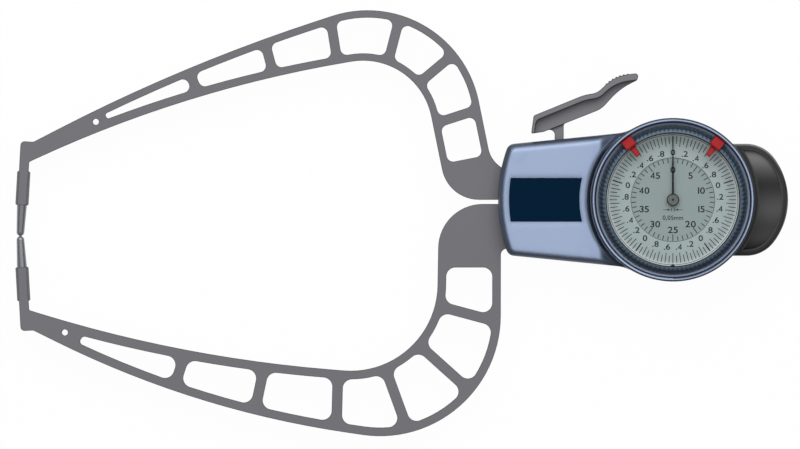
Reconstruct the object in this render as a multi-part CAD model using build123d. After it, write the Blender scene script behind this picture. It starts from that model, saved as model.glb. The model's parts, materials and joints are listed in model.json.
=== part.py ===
from build123d import *
import os
from math import acos, atan2, ceil, cos, degrees, hypot, pi, radians, sin, tan

# Outside dial caliper: two long windowed arms, one fixed and one swinging, whose tips meet
# on the work. A toothed sector on the swinging arm turns the hands of the dial.
# It lies on its back. X runs along the arms away from the tips, Y across, Z out of the dial.
# The origin is where the hands' axis meets the back. Sizes are in millimetres and degrees.

# Seat and running clearances
RUNNING_CLEARANCE = 0.05
CLOSE_GAP = 0.1
LOOSE_CLEARANCE = 0.2
ARM_SLOT_CLEARANCE = 0.6
JOIN_TOLERANCE = 0.0001

# Pivot of the swinging arm, and the point where the two tips meet
PIVOT = (-53.1, -0.8)
CONTACT = (-261.1, -14.5)
CONTACT_GAP = 0.02

# Gear train: the sector drives the first arbor, which drives both hands
SECTOR_TEETH = 224
FIRST_PINION_TEETH = 12
FIRST_WHEEL_TEETH = 112
CENTRE_PINION_TEETH = 8
HOUR_DRIVE_TEETH = 70
HOUR_WHEEL_TEETH = 50
SECTOR_MODULE = 0.4
WHEEL_MODULE = 0.25
LONG_HAND_TURNS = 10
PRESSURE_ANGLE = 20
TOOTH_ADDENDUM = 0.8
TOOTH_DEDENDUM = 1.15
TOOTH_BACKLASH = 0.14
SPARE_SECTOR_TEETH = 2

# Heights of the stack, from the back upwards
COVER_THICKNESS = 2.4
GASKET_THICKNESS = 0.4
COVER_BOSS_HEIGHT = 2.6
FRAME_THICKNESS = 2.5
ARM_SEAT_HEIGHT = 0.5
ARM_THICKNESS = 4.0
HUB_STEP = 0.4
SECTOR_THICKNESS = 1.4
WHEEL_THICKNESS = 0.5
PINION_OVERHANG = 0.5
WHEEL_GAP = 0.5
PLATE_GAP = 0.6
MOVEMENT_PLATE_THICKNESS = 1.2
DIAL_GAP = 1.0
DIAL_THICKNESS = 0.6
HAND_GAP = 0.5
HAND_THICKNESS = 0.25
HAND_SPACING = 0.65
CAP_HEIGHT = 0.7
CRYSTAL_GAP = 0.35
CRYSTAL_SEAL_THICKNESS = 0.2
CRYSTAL_THICKNESS = 1.4

# Housing: a nose that holds the arms and a round rim with a bead, which holds the bezel
RIM_ABOVE_FLANGE = 2.0
RIM_BEAD_WIDTH = 1.5
RIM_BEAD_ROUND = 0.65
RIM_FLANK_WIDTH = 0.5
RIM_FLANK_DROP = 1.7
RIM_CONE_WIDTH = 0.8
RIM_CONE_DROP = 1.1
NOSE_HEAD_ROOM = 0.3
NECK_ROOM = 0.7
NOSE_BACK_RADIUS = 62.0
NOSE_BACK_X = -69.8
NOSE_HALF_WIDTH = 21.8
NOSE_SLOPE = 5.7
NOSE_CORNER_RADIUS = 3.4
NOSE_EDGE_RADIUS = 2.6
NECK_BLEND_RADIUS = 18.0
NECK_EDGE_RADIUS = 2.0
COLLAR_GAP = 0.3
SHOULDER_X = -29.4
SHOULDER_SLOPE = 21
SHELL_WALL = 2.0
COVER_EDGE_RADIUS = 1.2
LEDGE_THICKNESS = 1.5
PANEL_HALF_HEIGHT = 8.74
PANEL_MARGIN = 4.3
PANEL_SHOULDER_GAP = 1.75
PANEL_DEPTH = 0.4
PANEL_THICKNESS = 0.5
COVER_SCREW_LENGTH = 8.0
LEVER_SLOT_X = (-49.8, -35.6)
ARM_SLOT_DEPTH = 7.0
SHOULDER_ROUND = 4.0
SEAL_GROOVE_CLEARANCE = 0.02

# Bezel, crystal and dial
DIAL_RADIUS = 26.5
DIAL_EDGE = 0.4
BEZEL_WALL = 2.05
BEZEL_GROOVE = 0.2
BEZEL_SKIRT_DEPTH = 3.0
BEZEL_FLANGE_ABOVE_DIAL = 1.2
BEZEL_FLANGE_THICKNESS = 2.0
BEZEL_FLANGE_STEP = 0.75
BEZEL_COLLAR_HEIGHT = 1.6
BEZEL_LIP = 0.2
BEZEL_FACE_WIDTH = 0.95
BEZEL_FACE_DROP = 0.4
KNURL_TEETH = 100
KNURL_DEPTH = 0.5
KNURL_OVERCUT = 0.15
NICK_LENGTH = 1.3
NICK_LEAN = 35
NICK_WIDTH = 0.35
NICK_DEPTH = 0.5
SEAL_WIRE_RADIUS = 0.4
SEAL_FACETS = 8
SNAP_RING_WIDTH = 1.0
SNAP_RING_THICKNESS = 0.6
DIAL_HOLE_RADIUS = 1.8
DIAL_RECESS_RADIUS = 16.6
DIAL_RECESS_DEPTH = 0.25
DIAL_NOTCH_RADIUS = 0.8

# Limit markers, clipped over the bezel each side of twelve o'clock
MARKER_ANGLE = 38
MARKER_WIDTH = 4.9
MARKER_THICKNESS = 0.9
MARKER_WING_THICKNESS = 0.8
MARKER_LEG = 0.6
MARKER_ROUND = 0.4
POINTER_WIDTH = 2.0
POINTER_ROOT_WIDTH = 2.6
POINTER_REACH = 22.3
POINTER_THICKNESS = 0.5
MARKER_CLEARANCE = 0.06
MARKER_WING_GAP = 0.3

# Hands
LONG_HAND_END_GAP = 1.1
LONG_HAND_WIDTH = 0.52
SHORT_HAND_LENGTH = 16.2
SHORT_HAND_WIDTH = 0.76
HAND_TAPER = 0.7
HAND_EYE_RADIUS = 1.9
CAP_BASE_RADIUS = 2.5
CAP_TOP_RADIUS = 2.05
CAP_DIMPLE_RADIUS = 0.32

# Palm rest, moulded, on the far side of the rim from the arms
PALM_REST_REACH = 13.4
PALM_REST_HALF_WIDTH = 22.4
PALM_REST_END_RADIUS = 28.0
PALM_REST_CORNER_RADIUS = 14.0
PALM_REST_LOW = 1.5
PALM_REST_HIGH = 18.5
PALM_REST_EDGE_RADIUS = 1.6
PALM_REST_RIM = 2.3
PALM_REST_COLLAR = 1.6
PALM_REST_RECESS = 0.5
PALM_REST_CROWN = 2.0
PALM_SCREW_Y = 9.0
PALM_SCREW_HEIGHT = 9.5
PALM_SCREW_DEPTH = 9.0
PALM_SEAT_SINK = 0.3

# Arm heads: the tips lean back from the contact point, mirrored above and below it
TIP_LEAN = 3.2
TIP_LENGTH = 12.4
TIP_END_RADIUS = 1.55
TIP_BASE_RADIUS = 2.0
TIP_SHANK_RADIUS = 1.5
TIP_SHANK_LENGTH = 9.0
SLEEVE_RADIUS = 2.65
SLEEVE_END = 26.0
SLEEVE_CHAMFER = 0.4
NECK_HALF_WIDTH = 1.92
HEAD_CORNER = 38.0
HEAD_CORNER_RADIUS = 1.7
THROAT_CORNER = 29.8

# Outer and inner edges of the arms, tip to root, as corners (x, y, radius of the round)
MOVING_OUTER = [(-255.8, 23.2, 2.0), (-195.9, 54.1, 700), (-87.7, 89.5, 45.5), (-72.8, 16.3, 11.2)]
MOVING_INNER = [(-195.2, 44.0, 490), (-102.0, 59.8, 27.8), (-89.8, 0.0, 15.1)]
FIXED_OUTER = [(-255.8, -52.3, 2.0), (-191.6, -84.2, 390), (-68.8, -102.2, 48.3), (-68.7, -19.6, 2.4)]
FIXED_INNER = [(-195.6, -63.1, 540), (-94.7, -71.3, 34.7), (-93.5, -1.65, 17.8)]

# Webs between the arm windows as (x, y, direction), first and last being the window ends
MOVING_WEBS = [
    (-226.7, 33.3, 124), (-191.7, 47.0, 114), (-161.5, 56.9, 105), (-135.6, 64.4, 99),
    (-111.3, 64.9, 75.5), (-94.0, 53.0, 40), (-85.9, 33.5, 18), (-83.0, 16.2, 11),
]
FIXED_WEBS = [
    (-236.9, -56.0, 58), (-197.3, -68.4, 72), (-165.3, -75.6, 78), (-134.2, -80.0, 88.5),
    (-110.3, -80.2, 110), (-90.8, -67.7, 138), (-81.8, -45.7, 165), (-81.6, -27.1, 180),
]
MOVING_RIM = 2.95
MOVING_WEB_WIDTH = 4.0
MOVING_WINDOW_RADIUS = 2.6
FIXED_RIM = 3.45
FIXED_WEB_WIDTH = 4.25
FIXED_WINDOW_RADIUS = 3.7
SETTING_HOLE_RADIUS = 1.2
MOVING_SETTING_HOLE = (-230.8, 31.2)
FIXED_SETTING_HOLE = (-243.2, -53.1)

# Roots of the arms inside the housing
HUB_RADIUS = 8.0
HUB_GAP = 1.2
ARM_ROOT_CORNER = (-67.1, 11.9, 4.0)
LUG_FOOT_Y = 4.0
LUG_CORNER_RADIUS = 1.5
LUG_FOOT_RADIUS = 2.0
SHOULDER_RADIUS = 3.0
THROAT_RADIUS = 0.8
FIXED_ROOT_RADIUS = 1.0
HUB_OVERLAP = 1.0
SEAT_PAD_X = (-66.4, -62.6)
SEAT_PAD_MARGIN = 0.9
SEAT_PAD_RADIUS = 0.5
PIN_RADIUS = 2.5
PIN_CHAMFER = 0.2
BUSH_RADIUS = 4.0
BUSH_FLANGE_RADIUS = 5.2
BUSH_FLANGE_THICKNESS = 0.35
LUG_X = (-52.5, -43.0)
LUG_TOP = 16.4
ROOT_X = -42.0
ROOT_TOP = -10.0
ROOT_BOTTOM = -19.6
ROOT_SHOULDER = (-57.5, 10.0)
WEB_REACH = 20.0

# Finger lever: the outline of its web as corners, and the wide pad along its back
LEVER_PAD = [
    (-56.6, 26.4, 0.6), (-55.6, 33.7, 1.0), (-35.3, 42.0, 20.0), (-30.3, 42.7, 7.0),
    (-23.0, 49.6, 16.0), (-13.5, 50.7, 1.2),
]
LEVER_UNDERSIDE = [(-14.2, 47.8, 1.2), (-21.1, 44.4, 28.0), (-28.5, 36.3, 10.0), (-51.5, 27.2, 6.0)]
POST_X = (-47.2, -43.6)
POST_FILLETS = (2.0, 1.2)
POST_THICKNESS = 3.2
FOOT_LEFT = -51.5
FOOT_Y = (9.0, 16.0)
FOOT_CORNER_RADIUS = 0.8
FOOT_FILLET = 1.5
LEVER_WEB_WIDTH = 5.3
LEVER_PAD_WIDTH = 12.0
LEVER_PAD_THICKNESS = 2.1
LEVER_HEEL_THICKNESS = 1.2
LEVER_TIP_THICKNESS = 2.7
LEVER_HEEL_ROUND = 2.5
GRIP_RIBS = 7
GRIP_RIB_RADIUS = 0.25
GRIP_RIB_SPAN = (0.735, 0.915)
GRIP_RIB_INSET = 1.0

# Sector and wheels
SECTOR_HUB_RADIUS = 9.0
SECTOR_HUB_HOLE = 5.6
SECTOR_RIM = 3.0
SPOKE_ROOT_WIDTH = 5.0
SPOKE_TIP_WIDTH = 2.6
SECTOR_SCREW_RADIUS = 7.3
SECTOR_SCREW_ANGLES = (105, 285)
WHEEL_SPOKES = 5
WHEEL_SPOKE_WIDTH = 1.4
WHEEL_RIM = 1.3
WHEEL_HUB_RADIUS = 2.4
ARBOR_RADIUS = 0.9
ARBOR_PIVOT_RADIUS = 0.5
CENTRE_ARBOR_RADIUS = 0.7
TUBE_RADIUS = 1.2
ARBOR_BUSH_RADIUS = 1.6
TUBE_BUSH_RADIUS = 2.2

# Springs: one torsion coil closes the arm, one flat spiral takes up the play of the gears
COIL_RADIUS = 4.3
COIL_WIRE = 0.5
COIL_TURNS = 3.5
COIL_PITCH = 0.6
COIL_LEG = 6.0
COIL_NOTCH = 1.1
ANCHOR_RADIUS = 0.75
HAIRSPRING_TURNS = 5
HAIRSPRING_INNER = 1.6
HAIRSPRING_OUTER = 6.2
HAIRSPRING_THICKNESS = 0.2
HAIRSPRING_HEIGHT = 0.9
HAIRSPRING_LIFT = 1.3
COLLET_RADIUS = 1.5
STUD_RADIUS = 0.6

# Frame plate, movement plate, pillars and the points where they are fastened
CAVITY_CLEARANCE = 0.6
FRAME_RADIUS = 24.5
MOVEMENT_PLATE_RADIUS = 23.5
PILLAR_RADIUS = 1.75
BRIDGE_THICKNESS = 1.4
BRIDGE_END_RADIUS = 3.4
BRIDGE_EYE_RADIUS = 5.1
BRIDGE_RIB_WIDTH = 5.4
COIL_CLEARANCE = 0.15
BRIDGE_POSTS = [(-61.0, -15.6), (-45.6, -15.6), (-55.5, 17.2)]
MOVEMENT_POSTS = [(-6.0, 20.6), (20.4, 3.0), (9.0, -20.0)]
FRAME_SCREWS = [(-38.0, 18.5), (-31.0, -12.0), (14.0, 15.0), (15.0, -14.0)]
NOSE_COVER_BOSSES = [(-61.6, 18.4), (-35.0, -20.6)]
RIM_COVER_BOSS_ANGLE = 41.7
COVER_BOSS_IN_WALL = 0.9
ARM_SCREWS = [(-64.0, -6.2), (-53.1, -15.6)]
ARM_DOWELS = [(-64.3, -10.9), (-49.4, -17.9)]
LEVER_SCREWS = [(-49.4, 12.3), (-45.3, 12.3)]
COVER_BOSS_RADIUS = 2.6
FRAME_BOSS_RADIUS = 2.6
DOWEL_RADIUS = 1.0
STOP_RADIUS = 1.5
STOP_HEIGHT_ON_LUG = 11.0

# Screws as (head radius, head height, shank radius)
SMALL_SCREW = (1.8, 0.7, 0.9)
COVER_SCREW = (2.1, 1.1, 1.0)
SLOT_WIDTH = 0.4
SLOT_DEPTH = 0.35

# Places worked out from the sizes above
cover_top = COVER_THICKNESS
shell_low = cover_top + GASKET_THICKNESS
frame_low = cover_top + COVER_BOSS_HEIGHT
frame_top = frame_low + FRAME_THICKNESS
arm_low = frame_top + ARM_SEAT_HEIGHT
arm_top = arm_low + ARM_THICKNESS
arm_middle = (arm_low + arm_top) / 2
post_top = arm_top + POST_THICKNESS
hub_low = frame_top + BUSH_FLANGE_THICKNESS + RUNNING_CLEARANCE
hub_top = arm_top + HUB_STEP
sector_low = hub_top
sector_top = sector_low + SECTOR_THICKNESS
pinion_low = sector_low - PINION_OVERHANG
pinion_top = sector_top + PINION_OVERHANG
first_wheel_low = pinion_top + WHEEL_GAP
first_wheel_top = first_wheel_low + WHEEL_THICKNESS
hour_wheel_low = first_wheel_top + PLATE_GAP
hour_wheel_top = hour_wheel_low + WHEEL_THICKNESS
movement_low = hour_wheel_top + PLATE_GAP
hairspring_low = frame_top + HAIRSPRING_LIFT
movement_top = movement_low + MOVEMENT_PLATE_THICKNESS
dial_low = movement_top + DIAL_GAP
dial_top = dial_low + DIAL_THICKNESS
short_hand_low = dial_top + HAND_GAP
short_hand_top = short_hand_low + HAND_THICKNESS
long_hand_low = short_hand_top + HAND_SPACING
long_hand_top = long_hand_low + HAND_THICKNESS
cap_top = long_hand_top + CAP_HEIGHT
crystal_seat = cap_top + CRYSTAL_GAP
crystal_low = crystal_seat + CRYSTAL_SEAL_THICKNESS
crystal_top = crystal_low + CRYSTAL_THICKNESS
pivot_bridge_low = hub_top + BUSH_FLANGE_THICKNESS + CLOSE_GAP + COIL_TURNS * COIL_PITCH + COIL_WIRE
pivot_bridge_low += COIL_CLEARANCE
pivot_bridge_top = pivot_bridge_low + BRIDGE_THICKNESS
nose_height = pivot_bridge_top + SMALL_SCREW[1] + NOSE_HEAD_ROOM + SHELL_WALL
neck_height = sector_top + NECK_ROOM + SHELL_WALL

bezel_flange_low = dial_top + BEZEL_FLANGE_ABOVE_DIAL
bezel_flange_top = bezel_flange_low + BEZEL_FLANGE_THICKNESS
bezel_skirt_low = bezel_flange_low - BEZEL_SKIRT_DEPTH
bezel_top = crystal_top + BEZEL_COLLAR_HEIGHT
long_hand_length = DIAL_RADIUS - LONG_HAND_END_GAP
seat_radius = DIAL_RADIUS + DIAL_EDGE
skirt_radius = seat_radius + BEZEL_WALL
flange_radius = skirt_radius + BEZEL_FLANGE_STEP
knurl_inner = seat_radius + BEZEL_LIP + BEZEL_FACE_WIDTH
knurl_outer = flange_radius - BEZEL_GROOVE / 2
knurl_top = bezel_top - BEZEL_FACE_DROP

rim_height = bezel_flange_top + RIM_ABOVE_FLANGE
rim_bore = flange_radius + BEZEL_GROOVE
cone_outer = rim_bore + RIM_CONE_WIDTH
bead_inner = cone_outer + RIM_FLANK_WIDTH
rim_radius = bead_inner + RIM_BEAD_WIDTH
cone_top = rim_height - RIM_FLANK_DROP
cone_low = cone_top - RIM_CONE_DROP
ledge_bore = skirt_radius + RUNNING_CLEARANCE
ledge_low = bezel_flange_low - RUNNING_CLEARANCE - LEDGE_THICKNESS
rim_cavity = rim_radius - SHELL_WALL - CAVITY_CLEARANCE / 2
boss_circle = rim_cavity + COVER_BOSS_IN_WALL - COVER_BOSS_RADIUS
boss_x = boss_circle * cos(radians(RIM_COVER_BOSS_ANGLE))
boss_y = boss_circle * sin(radians(RIM_COVER_BOSS_ANGLE))
cover_bosses = NOSE_COVER_BOSSES + [(boss_x, boss_y), (boss_x, -boss_y)]
palm_seat_x = rim_cavity - PALM_SEAT_SINK
palm_rest_x = rim_radius + PALM_REST_REACH
shoulder_radius = rim_radius + COLLAR_GAP + NOSE_EDGE_RADIUS

reach = hypot(PIVOT[0] - CONTACT[0], PIVOT[1] - CONTACT[1])
hand_ratio = SECTOR_TEETH / FIRST_PINION_TEETH * FIRST_WHEEL_TEETH / CENTRE_PINION_TEETH
swing = 360 * LONG_HAND_TURNS / hand_ratio
sector_radius = SECTOR_TEETH * SECTOR_MODULE / 2
sector_distance = (SECTOR_TEETH + FIRST_PINION_TEETH) * SECTOR_MODULE / 2
wheel_distance = (FIRST_WHEEL_TEETH + CENTRE_PINION_TEETH) * WHEEL_MODULE / 2
hour_module = 2 * wheel_distance / (HOUR_DRIVE_TEETH + HOUR_WHEEL_TEETH)
pivot_distance = hypot(*PIVOT)
pivot_direction = atan2(PIVOT[1], PIVOT[0])
arbor_angle = acos(
    (wheel_distance**2 + pivot_distance**2 - sector_distance**2) / (2 * wheel_distance * pivot_distance)
)
arbor_direction = pivot_direction + arbor_angle
first_arbor_at = (wheel_distance * cos(arbor_direction), wheel_distance * sin(arbor_direction))
mesh_direction = degrees(atan2(first_arbor_at[1] - PIVOT[1], first_arbor_at[0] - PIVOT[0]))
centre_direction = degrees(atan2(-first_arbor_at[1], -first_arbor_at[0]))


# Plain shapes

def slab(face, low, high):
    """A flat face made solid between two heights."""
    return extrude(Pos(0, 0, low) * face, amount=high - low, dir=(0, 0, 1))


def disc(radius, low, high, at=(0, 0)):
    """An upright cylinder between two heights."""
    return slab(Pos(*at) * Circle(radius), low, high)


def posts(radius, low, high, places):
    """Equal upright cylinders, each a solid of its own."""
    return Part() + [disc(radius, low, high, at) for at in places]


def block(x, y, low, high):
    """A box from its X and Y spans and its two heights."""
    face = Pos((x[0] + x[1]) / 2, (y[0] + y[1]) / 2) * Rectangle(x[1] - x[0], y[1] - y[0])
    return slab(face, low, high)


def turned(profile):
    """A solid of revolution about the hands' axis from (radius, height) points."""
    return revolve(Plane.XZ * make_face(Polyline(*profile, close=True)), Axis.Z)


def corner_tangent(before, corner, after):
    """The tangent of half the angle that an outline turns at a corner."""
    heading_in = atan2(corner[1] - before[1], corner[0] - before[0])
    heading_out = atan2(after[1] - corner[1], after[0] - corner[0])
    turn = abs((heading_out - heading_in + pi) % (2 * pi) - pi)
    return tan(turn / 2)


def room_for_rounds(corners):
    """Each corner's radius, made smaller only where two rounds would meet on one edge."""
    count = len(corners)
    tangents = []
    for i in range(count):
        tangents.append(corner_tangent(corners[i - 1], corners[i], corners[(i + 1) % count]))
    radii = [corner[2] for corner in corners]
    for i in range(count):
        j = (i + 1) % count
        length = hypot(corners[j][0] - corners[i][0], corners[j][1] - corners[i][1])
        used = radii[i] * tangents[i] + radii[j] * tangents[j]
        if used > 0.99 * length:
            radii[i] *= 0.99 * length / used
            radii[j] *= 0.99 * length / used
    return radii


def outline(corners):
    """A flat face from sharp corners (x, y, radius), each rounded with its own radius."""
    points = [corner[:2] for corner in corners]
    path = FilletPolyline(*points, radius=room_for_rounds(corners), close=True)
    return make_face(path.edges())


def turned_about_pivot(point, angle):
    """Where a point of the swinging arm is when the arm has opened by an angle."""
    x = point[0] - PIVOT[0]
    y = point[1] - PIVOT[1]
    c = cos(radians(angle))
    s = sin(radians(angle))
    return (PIVOT[0] + c * x + s * y, PIVOT[1] - s * x + c * y)


# Fasteners

def screw(kind, at, seat, length):
    """A slotted screw standing on its shank, with its head above the seat."""
    head_radius, head_height, shank_radius = kind
    head = disc(head_radius, seat, seat + head_height, at)
    slot = Pos(at[0], at[1], seat + head_height) * Box(3 * head_radius, SLOT_WIDTH, 2 * SLOT_DEPTH)
    return head - slot + disc(shank_radius, seat - length, seat, at)


def screws(kind, places, seat, length):
    """Equal screws, each a solid of its own."""
    return Part() + [screw(kind, at, seat, length) for at in places]


def holes(kind, places, low, high, clearance=0.0):
    """The holes that the shanks of those screws go through."""
    return posts(kind[2] + clearance, low, high, places)


# Arms

def tip_point(side, along, across):
    """A point on the axis of a tip: along it from the contact, across it towards the housing."""
    lean = radians(TIP_LEAN)
    x = CONTACT[0] + along * sin(lean) + across * cos(lean)
    y = CONTACT[1] + side * (along * cos(lean) - across * sin(lean))
    return (x, y)


def edge_path(corners):
    """An open run of straight edges and rounds through corners, without its two end rounds."""
    radii = room_for_rounds(corners)[1:-1]
    return FilletPolyline(*[corner[:2] for corner in corners], radius=radii)


def arm_outline(side, outer, inner, root):
    """The arm's whole outline: its neck, its outer edge, its root and its inner edge."""
    head = tip_point(side, HEAD_CORNER, -NECK_HALF_WIDTH) + (HEAD_CORNER_RADIUS,)
    throat = tip_point(side, THROAT_CORNER, NECK_HALF_WIDTH) + (THROAT_RADIUS,)
    neck_end = SLEEVE_END - NECK_HALF_WIDTH
    neck_out = tip_point(side, neck_end, -NECK_HALF_WIDTH) + (0.0,)
    neck_in = tip_point(side, neck_end, NECK_HALF_WIDTH) + (0.0,)
    return outline([neck_out, head] + outer + root + inner[::-1] + [throat, neck_in])


def web_line(web, shift):
    """Two far points on a web's centre line, moved sideways by a shift."""
    x, y, direction = web
    c = cos(radians(direction))
    s = sin(radians(direction))
    middle = (x - shift * s, y + shift * c)
    start = (middle[0] - WEB_REACH * c, middle[1] - WEB_REACH * s)
    return start, (middle[0] + WEB_REACH * c, middle[1] + WEB_REACH * s)


def window_between(band, near, near_shift, far, far_shift, radius):
    """One window: the part of the arm's inner band between two webs, with round corners."""
    a, b = web_line(near, near_shift)
    c, d = web_line(far, far_shift)
    if (b[0] - a[0]) * (d[0] - c[0]) + (b[1] - a[1]) * (d[1] - c[1]) < 0:
        c, d = d, c
    cell = make_face(Polyline(a, b, d, c, close=True))
    window = slab((band & cell).faces()[0], arm_low, arm_top)
    for line in ((a, b), (c, d)):
        corners = [e for e in window.edges().filter_by(Axis.Z) if off_line(e.center(), line) < 0.01]
        width = (corners[0].center() - corners[1].center()).length
        window = fillet(corners, min(radius, 0.45 * width))
    return window


def ends_by_x(path):
    """The two ends of a path, the one nearer the tips first."""
    return sorted([path @ 0, path @ 1], key=lambda point: point.X)


def off_line(point, line):
    """How far a point lies from the line through two points."""
    (ax, ay), (bx, by) = line
    length = hypot(bx - ax, by - ay)
    return abs((bx - ax) * (point.Y - ay) - (by - ay) * (point.X - ax)) / length


def arm_windows(side, outer, inner, rim, webs, web_width, radius):
    """The windows of an arm, in the band that its two rims leave between them."""
    start_out = tip_point(side, HEAD_CORNER, 0)
    start_in = tip_point(side, THROAT_CORNER, 0)
    outer_edge = edge_path([start_out + (0,)] + outer)
    inner_edge = edge_path([start_in + (0,)] + inner)
    outer_rim = outer_edge.wire().offset_2d(rim, side=Side.RIGHT if side > 0 else Side.LEFT, closed=False)
    inner_rim = inner_edge.wire().offset_2d(rim, side=Side.LEFT if side > 0 else Side.RIGHT, closed=False)
    ends = [Line(a, b) for a, b in zip(ends_by_x(outer_rim), ends_by_x(inner_rim))]
    band = make_face(outer_rim.edges() + inner_rim.edges() + ends)
    cut = Part()
    for i in range(len(webs) - 1):
        near_half = 0 if i == 0 else web_width / 2
        far_half = 0 if i == len(webs) - 2 else web_width / 2
        cut += window_between(band, webs[i], -near_half, webs[i + 1], far_half, radius)
    return cut


def tip_axis(side, along):
    """A plane across a tip's axis, facing away from the contact, at a distance along it."""
    lean = radians(TIP_LEAN)
    x, y = tip_point(side, along, 0)
    return Plane(origin=(x, y, arm_middle), z_dir=(sin(lean), side * cos(lean), 0))


def sleeve(side):
    """The round boss that holds a tip, milled flat with both faces of the arm."""
    length = SLEEVE_END - TIP_LENGTH
    base = tip_axis(side, TIP_LENGTH)
    boss = base * Cylinder(SLEEVE_RADIUS, length, align=(Align.CENTER, Align.CENTER, Align.MIN))
    boss = chamfer(boss.edges().filter_by(GeomType.CIRCLE), SLEEVE_CHAMFER)
    x, y = tip_point(side, TIP_LENGTH + length / 2, 0)
    return boss & Pos(x, y, arm_middle) * Box(3 * length, 3 * length, ARM_THICKNESS)


def tip_bore(side):
    """The blind bore that the shank of a tip is pressed into."""
    bore = Cylinder(TIP_SHANK_RADIUS, TIP_SHANK_LENGTH, align=(Align.CENTER, Align.CENTER, Align.MIN))
    return tip_axis(side, TIP_LENGTH) * bore


def contact_tip(side):
    """A tapered contact pin with a round end and a plain shank."""
    start = CONTACT_GAP / 2
    end = TIP_LENGTH + TIP_SHANK_LENGTH
    widest = (TIP_END_RADIUS, start + TIP_END_RADIUS)
    dome = TangentArc((0, start), widest, tangent=(1, 0))
    flank = Polyline(
        widest, (TIP_BASE_RADIUS, TIP_LENGTH), (TIP_SHANK_RADIUS, TIP_LENGTH), (TIP_SHANK_RADIUS, end),
        (0, end), (0, start),
    )
    pin = revolve(Plane.XZ * make_face(dome.edges() + flank.edges()), Axis.Z)
    return tip_axis(side, 0) * pin


def moving_arm():
    """The upper arm: blade, head, hub round the pivot and the lug that carries the lever."""
    root = [
        ARM_ROOT_CORNER, ROOT_SHOULDER + (SHOULDER_RADIUS,), (LUG_X[0], LUG_TOP, LUG_CORNER_RADIUS),
        (LUG_X[1], LUG_TOP, LUG_CORNER_RADIUS), (LUG_X[1], LUG_FOOT_Y, LUG_FOOT_RADIUS),
        (PIVOT[0] + HUB_RADIUS - HUB_OVERLAP, 0.0, 0.0),
    ]
    blade = arm_outline(1, MOVING_OUTER, MOVING_INNER, root)
    windows = arm_windows(
        1, MOVING_OUTER, MOVING_INNER, MOVING_RIM, MOVING_WEBS, MOVING_WEB_WIDTH, MOVING_WINDOW_RADIUS
    )
    arm = slab(blade, arm_low, arm_top) - windows
    arm += sleeve(1) + disc(HUB_RADIUS, hub_low, hub_top, PIVOT)
    arm += disc(SECTOR_HUB_RADIUS, arm_top, hub_top, PIVOT)
    arm -= disc(BUSH_RADIUS, hub_low, hub_top, PIVOT)
    arm -= tip_bore(1) + disc(SETTING_HOLE_RADIUS, arm_low, arm_top, MOVING_SETTING_HOLE)
    arm -= holes(SMALL_SCREW, LEVER_SCREWS, arm_low, arm_top)
    arm -= holes(SMALL_SCREW, sector_screw_places(), arm_low, hub_top)
    return arm


def fixed_arm():
    """The lower arm: blade, head and the root that is clamped to the frame plate."""
    by_hub = PIVOT[0] - HUB_RADIUS + HUB_OVERLAP
    root = [
        (ROOT_X, ROOT_BOTTOM, FIXED_ROOT_RADIUS), (ROOT_X, ROOT_TOP, FIXED_ROOT_RADIUS),
        (by_hub, ROOT_TOP, 0.0), (by_hub, FIXED_INNER[-1][1], 0.0),
    ]
    blade = arm_outline(-1, FIXED_OUTER, FIXED_INNER, root)
    windows = arm_windows(
        -1, FIXED_OUTER, FIXED_INNER, FIXED_RIM, FIXED_WEBS, FIXED_WEB_WIDTH, FIXED_WINDOW_RADIUS
    )
    arm = slab(blade, arm_low, arm_top) - windows + sleeve(-1)
    arm -= disc(HUB_RADIUS + HUB_GAP, arm_low, arm_top, PIVOT)
    arm -= tip_bore(-1) + disc(SETTING_HOLE_RADIUS, arm_low, arm_top, FIXED_SETTING_HOLE)
    arm -= holes(SMALL_SCREW, ARM_SCREWS + BRIDGE_POSTS[:2], arm_low, arm_top)
    arm -= posts(DOWEL_RADIUS, arm_low, arm_top, ARM_DOWELS)
    return arm


def arm_seats():
    """Raised pads of the frame plate that the fixed arm's root rests on."""
    low = ROOT_BOTTOM + SEAT_PAD_MARGIN
    high = FIXED_INNER[-1][1] - SEAT_PAD_MARGIN
    pad = outline([
        (SEAT_PAD_X[0], low, FIXED_ROOT_RADIUS), (ROOT_X, low, FIXED_ROOT_RADIUS),
        (ROOT_X, ROOT_TOP, FIXED_ROOT_RADIUS),
        (PIVOT[0] - HUB_RADIUS + HUB_OVERLAP, ROOT_TOP, SEAT_PAD_RADIUS),
        (SEAT_PAD_X[1], high, SEAT_PAD_RADIUS), (SEAT_PAD_X[0], high, SEAT_PAD_RADIUS),
    ])
    return slab(pad, frame_top, arm_low) - disc(HUB_RADIUS + HUB_GAP, frame_top, arm_low, PIVOT)


# Finger lever

def underside_y(x):
    """The height of the lever's straight underside at a place over the post."""
    near, far = LEVER_UNDERSIDE[-2:]
    return near[1] + (far[1] - near[1]) * (x - near[0]) / (far[0] - near[0])


def lever_web_outline():
    """The side view of the lever: pad, underside, post and foot in one outline."""
    post = [
        (POST_X[1], underside_y(POST_X[1]), POST_FILLETS[1]), (POST_X[1], FOOT_Y[0], FOOT_CORNER_RADIUS),
        (FOOT_LEFT, FOOT_Y[0], FOOT_CORNER_RADIUS), (FOOT_LEFT, FOOT_Y[1], FOOT_CORNER_RADIUS),
        (POST_X[0], FOOT_Y[1] + FOOT_FILLET, FOOT_FILLET),
        (POST_X[0], underside_y(POST_X[0]), POST_FILLETS[0]),
    ]
    return outline(LEVER_PAD + LEVER_UNDERSIDE[:-1] + post + LEVER_UNDERSIDE[-1:])


def crossing(first, second):
    """The point where two lines meet, each given by two points."""
    (ax, ay), (bx, by) = first
    (cx, cy), (dx, dy) = second
    det = (bx - ax) * (dy - cy) - (by - ay) * (dx - cx)
    along = ((cx - ax) * (dy - cy) - (cy - ay) * (dx - cx)) / det
    return (ax + along * (bx - ax), ay + along * (by - ay))


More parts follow.
